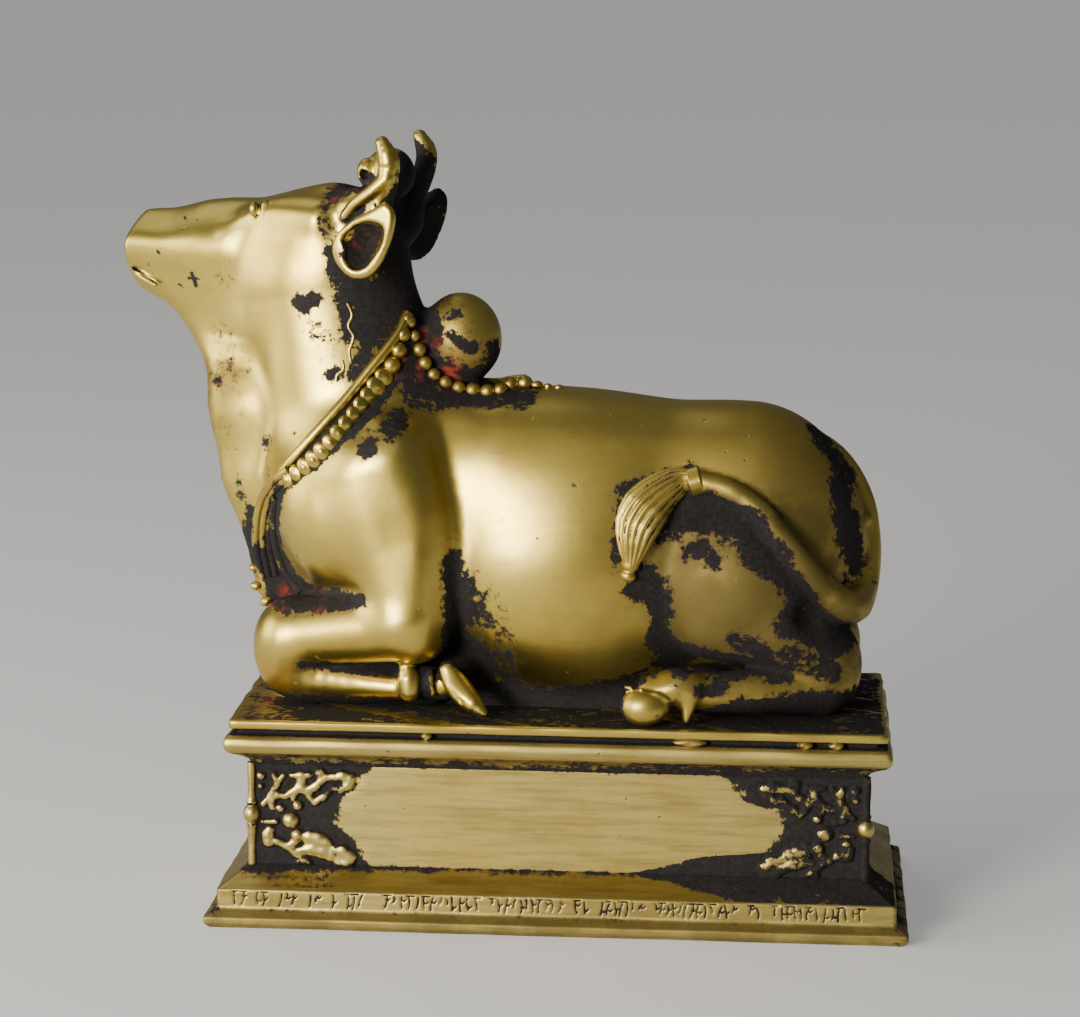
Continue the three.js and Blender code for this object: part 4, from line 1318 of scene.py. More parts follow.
@dataclass
class Ornaments:
    """The garland, its cord and bells, the neck thread and the strand at the hump's foot."""

    figure: Figure
    garland: Profile = (
        (-40, 101.6), (-43.2, 90), (-48.7, 82.2), (-54.9, 74), (-63, 65.5), (-73.2, 57), (-77.6, 49.5),
        (-79, 40), (-77.6, 31))
    round_share: Pair = (0.02, 0.16)
    stamped_share: Pair = (0.2, 0.62)
    strap_share: Pair = (0.6, 1.0)
    cord: Profile = (
        (-40.6, 101.5), (-42.4, 97), (-50.4, 86.4), (-55.3, 80.2), (-61.2, 73.5), (-66.8, 67.2),
        (-71.6, 61.5))
    strand: Profile = (
        (-39.8, 99.2), (-38.6, 95.4), (-36.9, 91), (-34.8, 86.9), (-31.3, 84), (-26.9, 82.1),
        (-21.3, 81.3), (-17.6, 81.4))
    strand_end: tuple[Vec, ...] = ((-14.2, -2.8, 82.6), (-10.8, -2.2, 83.0))
    lumps: tuple[Vec, ...] = ((-7.6, -2, 82.5), (-4.8, -1.6, 82.2), (-2, -1.2, 81.8))
    thread: Profile = (
        (-55.2, 104.5), (-54, 101.5), (-54.9, 98.8), (-53.6, 96), (-54.6, 92.4), (-54.2, 90))
    thread_end: Profile = ((-56.4, 90.2), (-56, 88), (-57.6, 86.4), (-58, 84.6))
    ribbon: Profile = ((-73.2, 54.5), (-74.8, 47), (-74.8, 40), (-73, 33), (-69, 27.6))
    bells: tuple[Vec, ...] = ((-81.6, -1.8, 33), (-81.2, -1.6, 28), (-78.6, -1.6, 24))
    garland_out: float = 0.4
    strand_out: float = 0.5
    cord_out: float = 0.25
    ridge_apart: float = 1.8

    def part_of(self, line: Array, share: Pair) -> Array:
        """The stretch of a line between two shares of its length."""
        at = np.linspace(share[0], share[1], 60) * (len(line) - 1)
        return np.column_stack([np.interp(at, range(len(line)), line[:, axis]) for axis in range(3)])

    def build(self, material: bpy.types.Material) -> list[Piece]:
        """Makes each ornament on the left side, and plain cords on the right."""
        flank, part_of = self.figure.flank, self.part_of
        garland = flank(self.garland, 160, self.garland_out)
        strand = smooth_line(np.vstack([flank(self.strand, 12, self.strand_out), self.strand_end]), 90)
        strap = part_of(garland, self.strap_share) + np.array([0, 0.5, 0])
        across = np.cross(np.gradient(strap, axis=0), OUTWARD)
        across *= self.ridge_apart / np.linalg.norm(across, axis=1)[:, None]
        mirror = np.array([1, -1, 1])
        plain = round_form("plain_bead", (1.9, 1.9, 1.7))
        stamped = round_form("stamped_bead", (2.0, 2.5, 1.4), stamp=0.3)
        worn = round_form("worn_lump", (1.5, 1.1, 1.2), stamp=0.12)
        bell = round_form("bell", (1.2, 1.7, 1.3), stamp=0.1)
        round_part, stamped_part = part_of(garland, self.round_share), part_of(garland, self.stamped_share)
        plan = (
            (Row("garland_round_beads", 4, 0.95, 1.15, 0.06, 3), round_part, plain),
            (Row("garland_stamped_beads", 13, 1.12, 0.96, 0.07, 5), stamped_part, stamped),
            (Cord("garland_ribbon", 1.5), flank(self.ribbon, 60, -0.9)),
            (Row("hump_strand_beads", 12, 0.86, 1.12, 0.07, 9), strand, plain),
            (Row("hump_strand_end", 3, 1.0, 0.75, 0.2, 12), np.array(self.lumps), worn),
            (Row("breast_bells", 3, 0.9, 1.1, 0.1, 14), np.array(self.bells), bell),
            (Cord("garland_cord", 1.4), flank(self.cord, 80, self.cord_out)),
            (Cord("neck_thread", 0.4), flank(self.thread, 50)),
            (Cord("neck_thread_end", 0.4, 40), flank(self.thread_end, 30)),
            (Cord("far_garland", 1.7), garland * mirror),
            (Cord("far_strand", 1.7), strand * mirror),
            (Cord("strap_inner_ridge", 1.2, 60), strap - across),
            (Cord("strap_middle_ridge", 1.2, 60), strap),
            (Cord("strap_outer_ridge", 1.2, 60), strap + across))
        pieces = [maker.build(line, *form, material) for maker, line, *form in plan]
        for form in (plain, stamped, worn, bell):
            bpy.data.objects.remove(form)
        return pieces

    def masses(self) -> Masses:
        """The ornaments as rough masses, to tell where they shade the body."""
        lines = ((self.garland, 12, self.garland_out, 1.9), (self.strand, 12, self.strand_out, 1.7),
                 (self.cord, 9, self.cord_out, 1.0))
        return [(Chain(tuple(map(tuple, self.figure.flank(profile, count, out))), (r, r), count), 0.3)
                for profile, count, out, r in lines]


@dataclass
class Bull:
    """The bull casting: its body with head, legs and tail, the tuft and ring, and the slab."""

    figure: Figure
    tail: Tail
    ornaments: Ornaments
    weather: Weather
    node: str = "nandi_bull"
    slot: str = "bull_brass"
    slab_half: Pair = (83.7, 34.2)
    zones: tuple[tuple[Zone, ...], ...] = (
        (Zone((-78, -11, 127), 7, True), Zone((-113, -5, 109), 9, True), Zone((-43.5, -20, 121.5), 13, True),
         Zone((-44, -10, 137), 12.5, True), Zone((-30, -24, 7), 13), Zone((24, -30, 7), 12),
         Zone((-98, -10, 109), 6, True)),
        (Zone((-78, -11, 127), 5, True), Zone((-113, -5, 109), 7, True)),
    )
    dull: tuple[str, ...] = ("strap", "garland_ribbon")
    dull_held: float = 0.75
    bright_held: float = 0.2
    slab_thickness: float = 2.4
    top_grime_and_shadow: float = 0.86
    top_film: float = 0.8

    def prepare(self) -> None:
        """Works out the masses that lie on the flank."""
        self.tail_masses = self.tail.masses(self.figure)
        self.worn = self.ornaments.masses()

    def whole(self, p: Array, band: float = 6.0) -> Array:
        """How far each point lies outside the bull with its tail."""
        return blend(self.tail_masses, p, self.figure.bare(p, band), band)

    def around(self, p: Array) -> Array:
        """How far each point lies from anything on the casting."""
        d = blend(self.worn, p, self.whole(p, 12.0), 12.0)
        return np.minimum(d, p[:, 2] + 0.2)

    def body(self) -> Piece:
        """The sculpted body."""
        lines = [grid_lines(stops) for stops in (self.figure.grid_x, self.figure.grid_y, self.figure.grid_z)]
        body = new_mesh("bull_body", *surface_net(self.whole, lines))
        for zones in self.zones:
            middles = [self.figure.from_head(zone.middle) if zone.of_head else zone.middle for zone in zones]
            refine(body, self.whole, np.array(middles), np.array([zone.radius for zone in zones]))
        log.info("bull_body: %d triangles", sum(len(face.vertices) - 2 for face in body.data.polygons))
        return body

    def tuft(self) -> Piece:
        """The tail's tuft, combed in strands that twist a little, with a knob at its tip."""
        tail, start = self.tail, self.tail.over_thigh(self.figure)[-1:]
        line = smooth_line(np.vstack([start, self.figure.flank(tail.tuft_profile, 7, 0.6)]), 96)
        grooves: list[Array] = []

        def fade_in(share: float) -> float:
            return min(share * 5, 1.0) * min(max((tail.knot_at - 0.04 - share) * 12, 0), 1)

        def radius(share: float, angles: Array) -> Array:
            base = float(np.interp(share, np.linspace(0, 1, len(tail.tuft_radii)), tail.tuft_radii))
            base *= 1 - tail.knot_pinch[0] * bump(share - tail.knot_at, tail.knot_pinch[1])
            twist, sway, waves = tail.strand_sway
            phase = angles * tail.strands / 2 + twist * share + sway * np.sin(waves * share)
            comb = np.abs(np.sin(phase)) - 0.6
            fine = np.sin(angles * tail.hair[0] + tail.hair[1] * share) * tail.hair[2]
            grooves.append(fade_in(share) * np.clip(-1.6 * comb, 0, 1))
            close = math.sqrt(max(1 - max((share - tail.tip_from) / 0.035, 0) ** 2, 0.02))
            lock = tail.lock * np.cos(3 * angles + 3 * share)
            return base * close * (1 + fade_in(share) * (tail.strand_depth * comb + fine + lock))

        obj = new_mesh("tail_tuft", *sweep(line, radius, 6 * tail.strands, tail.tuft_flat))
        write(obj, "groove", np.concatenate([*grooves, [0.0, 0.0]]))
        return obj

    def ring(self) -> Piece:
        """The squared knot between the tail and its tuft."""
        tail = self.tail
        x, y, z = tail.over_thigh(self.figure)[-1]
        line = np.linspace([x + 2.1, y, z + 0.4], [x - 1.7, y, z - 0.8], 24)
        lip, lip_at, lip_width = tail.ring_lips

        def radius(share: float, angles: Array) -> Array:
            swell = 1 - abs(2 * share - 1) ** 7
            lips = lip * bump(abs(2 * share - 1) - lip_at, lip_width)
            squared = 1 + lips + tail.ring_corners * np.cos(4 * angles)
            least, more = tail.ring_radius
            return (least + more * swell) * squared * (0.25 + 0.75 * math.sqrt(swell + 0.02))

        return new_mesh("tail_ring", *sweep(line, radius, sides=40))

    def slab(self) -> Piece:
        """The slab cast with the bull, its edges worn round and not quite straight."""
        under = -self.slab_thickness
        rows = [(0.6, under), (0.15, under + 0.12), (0.0, under + 0.45)]
        rows += [(0.0, -0.85), (0.05, -0.55), (0.22, -0.25), (0.5, -0.08), (0.9, 0.0)]
        rows += [(inward, 0.0) for inward in np.arange(1.9, self.slab_half[1] - 0.5, 1.25)]
        points, faces = Course(self.slab_half, rows, 21, corner=1.1, wander=0.16, columns=(150, 62)).mesh()
        flat = points[:, 2] > -0.05
        points[flat, 2] -= 0.12 * (1 + np.sin(points[flat, 0] * 0.31) * np.cos(points[flat, 1] * 0.43))
        slab = new_mesh("slab", points, faces)
        inward = np.min(np.array(self.slab_half) - np.abs(points[:, :2]), axis=1)
        shut = np.clip(1 - self.whole(points + np.array([0, 0, 1.5])) / 1.5, 0, 1.2) * flat
        # Grime with a painted shadow of the bull: the top is dark away from its edges, and lighter towards
        # its left end, where the bull casts no shadow.
        grime = self.top_grime_and_shadow * np.clip((points[:, 0] + 112) / 50, 0.5, 1)
        soil(slab, hollow=0.5 * shut + 0.5 * (points[:, 2] < 0.4 - self.slab_thickness),
             grime=np.clip((inward - 0.3) / 1.4, 0, 1) * flat * grime,
             powder=self.weather.cover(points, Coat.POWDER) * flat,
             film=np.where(flat & (inward > 0.6), self.top_film, 0.2))
        return slab

    def build(self, material: bpy.types.Material) -> None:
        """Makes and dresses every piece of the casting."""
        self.prepare()
        body = self.body()
        self.weather.settle_on(body, self.around)
        finish_piece(body, material, self.node, self.slot)
        for piece in (self.tuft(), self.ring(), *self.ornaments.build(material)):
            held = self.dull_held if piece.name.startswith(self.dull) else self.bright_held
            self.weather.settle_on(piece, self.whole, 0.5, held)
            finish_piece(piece, material, self.node, self.slot)
        finish_piece(self.slab(), material, self.node, self.slot)


# The plinth


@dataclass
class Course:
    """A closed band of moulding: rows of points run round a rectangle, each a set back and a height."""

    half: Pair
    rows: Sequence[Pair]
    seed: int
    corner: float = 0.8
    wander: float = 0.14
    columns: tuple[int, int] = (150, 60)
    front_columns: int = 0
    calm_end: float = 6.0
    wave_rates: Pair = (0.05, 0.35)
    wave_sizes: Pair = (0.4, 1.0)
    rise_share: float = 0.35

    def column_places(self) -> Array:
        """Each column's place round the rectangle: its x and y as shares of the half sizes."""
        wide, deep = self.columns
        front = np.linspace(-1, 1, (self.front_columns or wide) + 1)[:-1]
        along, side = np.linspace(-1, 1, wide + 1)[:-1], np.linspace(-1, 1, deep + 1)[:-1]
        ones = np.ones_like
        return np.vstack([
            np.column_stack([front, -ones(front)]), np.column_stack([ones(side), side]),
            np.column_stack([-along, ones(along)]), np.column_stack([-ones(side), -side])])

    def mesh(self) -> tuple[Array, list[list[int]]]:
        """The course's points and its outward faces, closed top and bottom."""
        rng = np.random.default_rng(self.seed)
        places = self.column_places()
        waves = [(rng.uniform(*self.wave_rates), rng.uniform(0, 6.3), rng.uniform(*self.wave_sizes))
                 for _ in range(7)]
        level = np.abs(places[:, 1]) == 1
        points = []
        for set_back, z in self.rows:
            hx, hy = self.half[0] - set_back, self.half[1] - set_back
            r = max(min(self.corner, hx, hy) - 0.2 * set_back * (set_back < 1), 0.05)
            x, y = places[:, 0] * hx, places[:, 1] * hy
            cx, cy = np.sign(x) * (hx - r), np.sign(y) * (hy - r)
            dx, dy = np.abs(x) - (hx - r), np.abs(y) - (hy - r)
            corner = (dx > 0) & (dy > 0)
            out = np.hypot(dx, dy)
            x = np.where(corner, cx + np.sign(x) * dx / np.maximum(out, TINY) * r, x)
            y = np.where(corner, cy + np.sign(y) * dy / np.maximum(out, TINY) * r, y)
            stray = sum(size * np.sin(rate * (x + 1.7 * y) + start + 0.35 * z) for rate, start, size in waves)
            stray *= self.wander / 3
            from_corner = np.where(level, hx - np.abs(x), hy - np.abs(y))
            push = stray * np.clip(from_corner / self.calm_end, 0, 1)
            y = y + np.where(level, push * np.sign(places[:, 1]), 0)
            x = x + np.where(level, 0, push * np.sign(places[:, 0]))
            rise = z + self.rise_share * stray * (z > self.rows[0][1] + 0.2)
            points.append(np.column_stack([x, y, rise]))
        ends = [[0, 0, self.rows[0][1]], [0, 0, self.rows[-1][1]]]
        return np.vstack([*points, ends]), ring_faces(len(self.rows), len(places))


def eased(outline: Sequence[Pair], ease: float, step: float) -> list[Pair]:
    """Rounds an outline's corners and fills its straights with points.

    Args:
        outline: (set back, height) corners.
        ease: how far from a corner the rounding starts.
        step: the longest straight between points.

    Returns:
        The finer outline.
    """
    pts = [np.array(p, float) for p in outline]
    fine = [pts[0]]
    for before, here, after in zip(pts, pts[1:], pts[2:]):
        a = here + (before - here) * min(ease / max(np.linalg.norm(before - here), TINY), 0.5)
        b = here + (after - here) * min(ease / max(np.linalg.norm(after - here), TINY), 0.5)
        fine += [(1 - t) ** 2 * a + 2 * t * (1 - t) * here + t * t * b for t in (0, 0.25, 0.5, 0.75, 1)]
    fine.append(pts[-1])
    result = [fine[0]]
    for a, b in zip(fine, fine[1:]):
        count = max(math.ceil(float(np.linalg.norm(b - a)) / step), 1)
        result += [a + (b - a) * n / count for n in range(1, count + 1)]
    return [(float(p[0]), float(p[1])) for p in result]


@dataclass
class Bracket:
    """The bracket carved in a waist corner. Its strokes run in from the corner and up from the middle."""

    strokes: tuple[tuple[tuple[float, float, float], ...], ...] = (
        ((2.5, 10.2, 0.8),), ((2.4, 7.5, 0.6),),
        ((5.8, 10.6, 0.6), (6.4, 9.2, 0.6), (6.3, 7.6, 0.6), (5.4, 5.7, 0.6), (3, 2.7, 0.5)),
        ((8.3, 10.5, 0.5), (7, 8.9, 0.5), (6.4, 7.9, 0.5)),
        ((5.4, 5.7, 0.6), (5.2, 3.8, 0.7), (5.4, 2, 0.6)),
        ((5.5, 4.2, 0.6), (6.7, 5.3, 0.6), (8.8, 5, 0.6), (10.7, 6.2, 0.6), (12.2, 7.5, 0.6)),
        ((7.4, 1.7, 0.8),),
        ((10.4, 10.6, 0.5), (12.8, 10.5, 0.7), (15, 10.7, 0.5)),
        ((13, 10.5, 0.7), (12.9, 9.1, 0.7), (13, 7.5, 0.8)),
        ((10.8, 4.1, 0.5), (11.3, 6.2, 0.6), (13, 7.2, 0.8), (14.6, 6.3, 0.7), (15.2, 4.7, 0.6),
         (16.4, 3.5, 0.6), (18.3, 4.8, 0.7), (20.1, 6.3, 0.5)),
        ((14.3, 6.6, 0.6), (16.5, 7.6, 0.8), (18, 9.2, 0.7), (19.2, 10.2, 0.6)),
        ((17.8, 11.4, 1.0),),
        ((19.2, 10.2, 0.7), (21.4, 10.2, 0.8), (23.5, 10.6, 1), (25.6, 9.9, 0.9), (25, 8.3, 0.9),
         (22.9, 7, 0.7), (21, 7.4, 0.5)),
        ((2.9, -1.9, 0.5), (6.2, -1.8, 0.5)),
        ((4.6, -4.2, 0.9), (4.1, -5.6, 1), (4.4, -7.2, 1)),
        ((4.4, -7.2, 0.7), (6.6, -7.1, 0.7), (8.7, -8.3, 0.7), (11.4, -10.1, 0.7), (13.4, -11.7, 0.7)),
        ((9.3, -8.3, 0.6), (10.9, -7.3, 0.7), (11.8, -6.3, 0.7)),
        ((11.7, -12.6, 0.5), (13.3, -11.8, 0.7), (14.8, -12.6, 0.5)),
        ((14.8, -5.9, 1.3), (17, -6.5, 1.3), (19.1, -7.4, 1.1)),
        ((12.7, -9.3, 0.7), (15.7, -8.9, 1.3), (18.2, -9.6, 1.2), (20.6, -10.7, 1)),
        ((21.2, -8.9, 0.9), (23.4, -9.5, 1.2), (25.1, -11, 1.2), (24.6, -12.5, 1.1), (22.4, -12.6, 0.9)),
        ((22.1, -11.4, 0.8), (23.1, -12.4, 0.7)),
    )
    beads: tuple[tuple[float, float, float], ...] = ((12, 2.5, 1.45), (10.1, -1.4, 2.35), (11.8, -5.4, 1.85))
    height: float = 1.2
    fullness: float = 1.55
    shoulder: float = 0.6
    stroke_blend: float = 0.7
    crown: float = 0.3
    bead_rise: float = 0.35
    ground_fade: float = 4.5
    border: Profile = (
        (-13.5, 29), (-9, 28), (-5.5, 25.5), (-1.8, 22.5), (1.2, 22.5), (4, 23.5), (6.8, 26.4), (9.5, 28.2),
        (13.5, 30))
    border_right: Profile = (
        (-13.5, 60), (-12.4, 54), (-10, 47), (-8.4, 41), (-6.8, 25), (-1.2, 20.6), (4.6, 23.6), (5.6, 28),
        (7, 32), (13.5, 35))

    def ground(self, along: Array, up: Array, right: Array) -> Array:
        """How dark the ground between the strokes is, out to the bracket's ragged border."""
        edge = np.where(right, np.interp(up, *zip(*self.border_right)), np.interp(up, *zip(*self.border)))
        return np.clip((edge - along) / self.ground_fade + 0.62, 0, 1.35)

    def relief(self, along: Array, up: Array) -> tuple[Array, Array]:
        """How high the carving stands at each place, and how near the nearest carving is.

        Args:
            along: measured in from the waist's corner.
            up: measured up from the waist's middle.

        Returns:
            The height and the distance to the nearest stroke's edge.
        """
        at = np.column_stack([along, up])
        near, beads = np.full(len(at), FAR), np.zeros(len(at))
        for stroke in self.strokes:
            spots = np.array(stroke, float)
            for a, b in zip(spots, np.vstack([spots[1:], spots[-1:]])):
                share, away = on_segment(at, a[:2], b[:2])
                radius = a[2] + share * (b[2] - a[2])
                near = smooth_union(near, away - self.fullness * radius, self.stroke_blend)
        inward = np.clip(-near / self.shoulder, 0, 1)
        high = self.height * np.sqrt(1 - (1 - inward) ** 2)
        high += self.crown * np.clip(-near - self.shoulder, 0, 1)
        for x, z, r in self.beads:
            away = np.hypot(at[:, 0] - x, at[:, 1] - z)
            dome = np.sqrt(np.clip(1 - (away / r) ** 2, 0, 1))
            beads = np.maximum(beads, (self.height + self.bead_rise * r) * dome)
            near = np.minimum(near, away - r)
        return np.maximum(high, beads), near


@dataclass
class ChiselRow:
    """The row of shallow strokes along the base's upright face: strokes and hooks, and no letters."""

    start: float = -82.0
    end: float = 79.5
    low: float = 5.3
    high: float = 8.95
    pitch: float = 1.75
    width: float = 0.27
    depth: float = 0.2
    seed: int = 77
    gap_chance: float = 0.13
    short_chance: float = 0.3
    hook_chance: float = 0.42
    bar_chance: float = 0.4

    def marks(self) -> list[Array]:
        """The strokes, each a short line of (x, z) points."""
        rng = np.random.default_rng(self.seed)
        marks, x = [], self.start
        while x < self.end:
            if rng.random() < self.gap_chance:
                x += self.pitch * 1.3
                continue
            low, high = self.low + rng.uniform(0, 0.7), self.high - rng.uniform(0, 0.6)
            lean, bow = rng.uniform(-0.5, 0.9), rng.uniform(-0.7, 0.7)
            if rng.random() < self.short_chance:
                low = low + rng.uniform(0.8, 1.6)
            t = np.linspace(0, 1, 5)
            run = x + lean * (t - 0.5) + bow * 2 * t * (1 - t)
            marks.append(np.column_stack([run, low + (high - low) * t]))
            if rng.random() < self.hook_chance:
                hook = rng.uniform(0.25, 0.8)
                at = low + (high - low) * hook
                marks.append(np.array([[x, at], [x + 0.6, at - 0.35], [x + 1.05, at + 0.1]]))
            if rng.random() < self.bar_chance:
                bar = rng.uniform(0.7, 1.5)
                end = self.high + rng.uniform(-0.15, 0.15)
                marks.append(np.array([[x - 0.5, self.high], [x + bar, end]]))
            x += self.pitch * rng.uniform(0.75, 1.3)
        return marks

    def depth_at(self, x: Array, z: Array) -> Array:
        """How deep the strokes are at each place on the face."""
        deep = np.zeros(len(x))
        for mark in self.marks():
            low, high = mark.min(0) - 1, mark.max(0) + 1
            near = (x > low[0]) & (x < high[0]) & (z > low[1]) & (z < high[1])
            if not near.any():
                continue
            at = np.column_stack([x[near], z[near]])
            for a, b in zip(mark, mark[1:]):
                deep[near] = np.maximum(deep[near], bump(on_segment(at, a, b)[1], self.width))
        return deep * self.depth


@dataclass
class Plinth:
    """The moulded plinth, from the floor up. A set back is measured in from the foot's outer edge."""

    bracket: Bracket
    strokes: ChiselRow
    node: str = "plinth"
    slot: str = "plinth_brass"
    half: Pair = (89.84, 40.34)
    lip_round: float = 1.1
    lip_height: float = 2.9
    band_set_back: float = 3.1
    band_bottom: float = 5.0
    band_top: float = 9.4
    waist_set_back: float = 11.2
    waist_bottom: float = 14.3
    waist_top: float = 40.6
    torus_set_back: float = 4.8
    torus_bottom: float = 44.6
    torus_top: float = 49.4
    necking_set_back: float = 8.4
    height: float = 51.0
    arris_radius: float = 1.05
    stroke_dark: float = 4.4
    cove_spot: Pair = (-25.4, 42.2)
    crest_left: float = 1.15
    crest_right: float = 0.8
    slope_film: float = 0.05
    band_film: float = 0.6
    lip_film: float = 1.1
    joint_hollow: Pair = (0.36, 0.75)
    end_grime: float = 1.15
    end_grime_from: Pair = (42, 18)
    end_grime_fade: float = 9.0
    side_fade: Pair = (-10, 12)
    patch_grime: float = 0.5
    patch: Pair = (-70, 22)
    corner_grime: float = 0.35
    right_inset: float = 0.3
    right_stretch: float = 1.01
    right_height: float = 0.88
    moat: Pair = (0.25, 1.2)
    waist_hollow: float = 0.62
    cove_swell: float = 1.17
    cove_grime: Vec = (0.42, 0.55, 20)
    cove_film: float = 1.3
    torus_grime: float = 0.1
    torus_film: float = 0.25
    necking_hollow: float = 0.62
    spot_size: Pair = (2.2, 1.6)
    spot_grime: float = 1.5
    rib_grime: Pair = (0.3, 1.3)
    collar_rise: float = 0.35
    solder_radius: float = 1.05
    boss_radius: float = 2.2
    solder: Profile = ((-32.9, 1.5), (33.9, 4.4), (62.8, 2.2), (70.7, 2.0))

    def base(self) -> Piece:
        """The lip, the upright face with its strokes and the slope above it."""
        b = self
        outline = [(b.lip_round, 0), (0, b.lip_round), (0, b.lip_height), (b.lip_round, b.lip_height + 0.5),
                   (b.band_set_back - 0.35, b.band_bottom - 0.7), (b.band_set_back, b.band_bottom)]
        slope_line = [(b.band_set_back, b.band_bottom), (b.band_set_back, b.band_top),
                      (b.waist_set_back, b.waist_bottom), (b.waist_set_back + 2, b.waist_bottom)]
        rows = [*eased(outline, ease=0.5, step=0.5), *eased(slope_line, ease=0.45, step=0.26)[1:]]
        course = Course(b.half, rows, 31, corner=0.9, wander=0.16, columns=(150, 64), front_columns=680)
        points, faces = course.mesh()
        x, y, rise = points.T
        front = (y < -b.half[1] + b.band_set_back + 0.8) & (rise > b.band_bottom) & (rise < b.band_top)
        cut = np.zeros(len(points))
        cut[front] = self.strokes.depth_at(x[front], rise[front])
        points[:, 1] += cut
        obj = new_mesh("plinth_base", points, faces, lift=0.0)
        above, near_top = rise > b.band_top + 0.3, rise > b.band_top + 0.8
        climb = np.clip((rise - b.band_top) / (b.waist_bottom - b.band_top), 0, 1)
        in_front = np.clip((b.side_fade[0] - points[:, 1]) / b.side_fade[1], 0, 1)
        start = b.end_grime_from[0] + (b.end_grime_from[1] - b.end_grime_from[0]) * climb
        right_end = np.clip((x - start) / b.end_grime_fade, 0, 1) * above * in_front
        patch = b.patch_grime * bump(x - b.patch[0], b.patch[1]) * near_top
        grime = np.maximum(right_end * b.end_grime, patch)
        hollow = b.joint_hollow[0] * bump(rise - b.band_bottom + 0.5, 0.8)
        hollow += b.joint_hollow[1] * bump(rise - b.waist_bottom, 1.4)
        soil(obj, hollow=hollow + self.stroke_dark * cut,
             grime=np.maximum(grime, np.where(np.abs(x) > b.half[0] - 4, b.corner_grime, 0)),
             film=np.select([above, rise > b.band_bottom - 0.5], [b.slope_film, b.band_film], b.lip_film))
        return obj

    def waist(self) -> Piece:
        """The upright waist with the brackets carved at the ends of its front."""
        b = self
        rows = [(b.waist_set_back, z) for z in np.arange(b.waist_bottom - 0.3, b.waist_top + 0.35, 0.36)]
        course = Course(b.half, rows, 32, corner=0.7, wander=0.1, columns=(110, 46), front_columns=440)
        points, faces = course.mesh()
        front = points[:, 1] < -b.half[1] + b.waist_set_back + 0.5
        x, rise, right = points[front, 0], points[:, 2], points[front, 0] > 0
        along = b.half[0] - b.waist_set_back - np.abs(x)
        up = rise[front] - (b.waist_bottom + b.waist_top) / 2
        inset, stretch = np.where(right, self.right_inset, 0), np.where(right, self.right_stretch, 1)
        high, near = self.bracket.relief(along - inset, up * stretch)
        high *= np.where(right, self.right_height, 1.0)
        fade = np.clip((b.waist_top - rise[front]) / 0.6, 0, 1)
        points[front, 1] -= (high - self.moat[0] * np.exp(-np.maximum(near, 0) / self.moat[1])) * fade
        obj = new_mesh("plinth_waist", points, faces, lift=0.0)
        edge = np.minimum(rise - b.waist_bottom, b.waist_top - rise)
        crest = np.where(right, self.crest_right, self.crest_left)
        crest *= np.clip(high / self.bracket.height - 0.25, 0, 1.3)
        grime = np.zeros(len(points))
        grime[front] = np.maximum(self.bracket.ground(along, up, right) - crest, 0)
        soil(obj, hollow=self.waist_hollow * np.exp(-np.maximum(edge, 0) / 1.1), grime=grime)
        return obj

    def crown(self) -> Piece:
        """The cove and torus over the waist, and the dark necking under the slab."""
        b = self
        cove = [(b.waist_set_back + 1.5, b.waist_top - 0.1)]
        for t in np.linspace(0, 1, 9):
            swell = b.cove_swell * math.sin(math.pi * t)
            cove.append((b.waist_set_back + t * (b.torus_set_back + 1.2 - b.waist_set_back) + swell,
                         b.waist_top + t * (b.torus_bottom - b.waist_top)))
        torus = [(b.torus_set_back + 0.4, b.torus_bottom + 0.9),
                 (b.torus_set_back, (b.torus_bottom + b.torus_top) / 2),
                 (b.torus_set_back + 0.4, b.torus_top - 0.8), (b.torus_set_back + 1.6, b.torus_top),
                 (b.necking_set_back, b.torus_top + 0.1), (b.necking_set_back, b.height)]
        rows = eased([*cove, *torus], ease=0.5, step=0.6)
        points, faces = Course(b.half, rows, 33, corner=1.0, wander=0.2, columns=(220, 80)).mesh()
        obj = new_mesh("plinth_crown", points, faces, lift=0.0)
        x, y, rise = points.T
        hollow = 0.7 * np.exp(-np.maximum(rise - b.waist_top, 0) / 0.8)
        hollow += b.necking_hollow * (rise > b.torus_top - 0.1)
        inner = b.half[1] - np.abs(y) > b.torus_set_back + 1.0
        hollow += 0.5 * np.exp(-np.maximum(b.torus_top - rise, 0) / 0.5) * inner
        in_cove = (rise > b.waist_top) & (rise < b.torus_bottom + 0.3)
        spot = np.linalg.norm((points[:, [0, 2]] - b.cove_spot) / b.spot_size, axis=1) < 1
        left_grime, right_grime, middle = b.cove_grime
        grime = np.where(in_cove, np.where(x > middle, right_grime, left_grime), b.torus_grime)
        soil(obj, hollow=hollow, grime=np.where(spot, b.spot_grime, grime),
             film=np.where(in_cove, b.cove_film, b.torus_film))
        return obj

    def corners(self) -> list[Piece]:
        """The thin rib down each upright edge, with its boss."""
        b = self
        pieces = []
        x0, y0 = b.half[0] - b.waist_set_back, b.half[1] - b.waist_set_back
        middle = (b.waist_bottom + b.waist_top) / 2
        corners = ("front_left", -1, -1), ("front_right", 1, -1), ("back_left", -1, 1), ("back_right", 1, 1)
        for name, sx, sy in corners:
            x, y = sx * x0, sy * y0
            line = np.linspace([x, y, b.waist_bottom - 0.4], [x, y, b.waist_top + 0.6], 90)

            def radius(share: float, angles: Array, phase: float = sx * 1.3 + sy) -> Array:
                z = b.waist_bottom + share * (b.waist_top - b.waist_bottom)
                lift = max(1 - ((z - middle) / (b.boss_radius * 1.12)) ** 2, 0)
                rib = b.arris_radius * (1 + 0.09 * math.sin(9 * share + phase) + 0.05 * math.sin(23 * share))
                collar = b.collar_rise * bump(abs(z - middle) - 3.0, 0.5)
                return np.full(len(angles), max(rib + collar, b.boss_radius * math.sqrt(lift)))

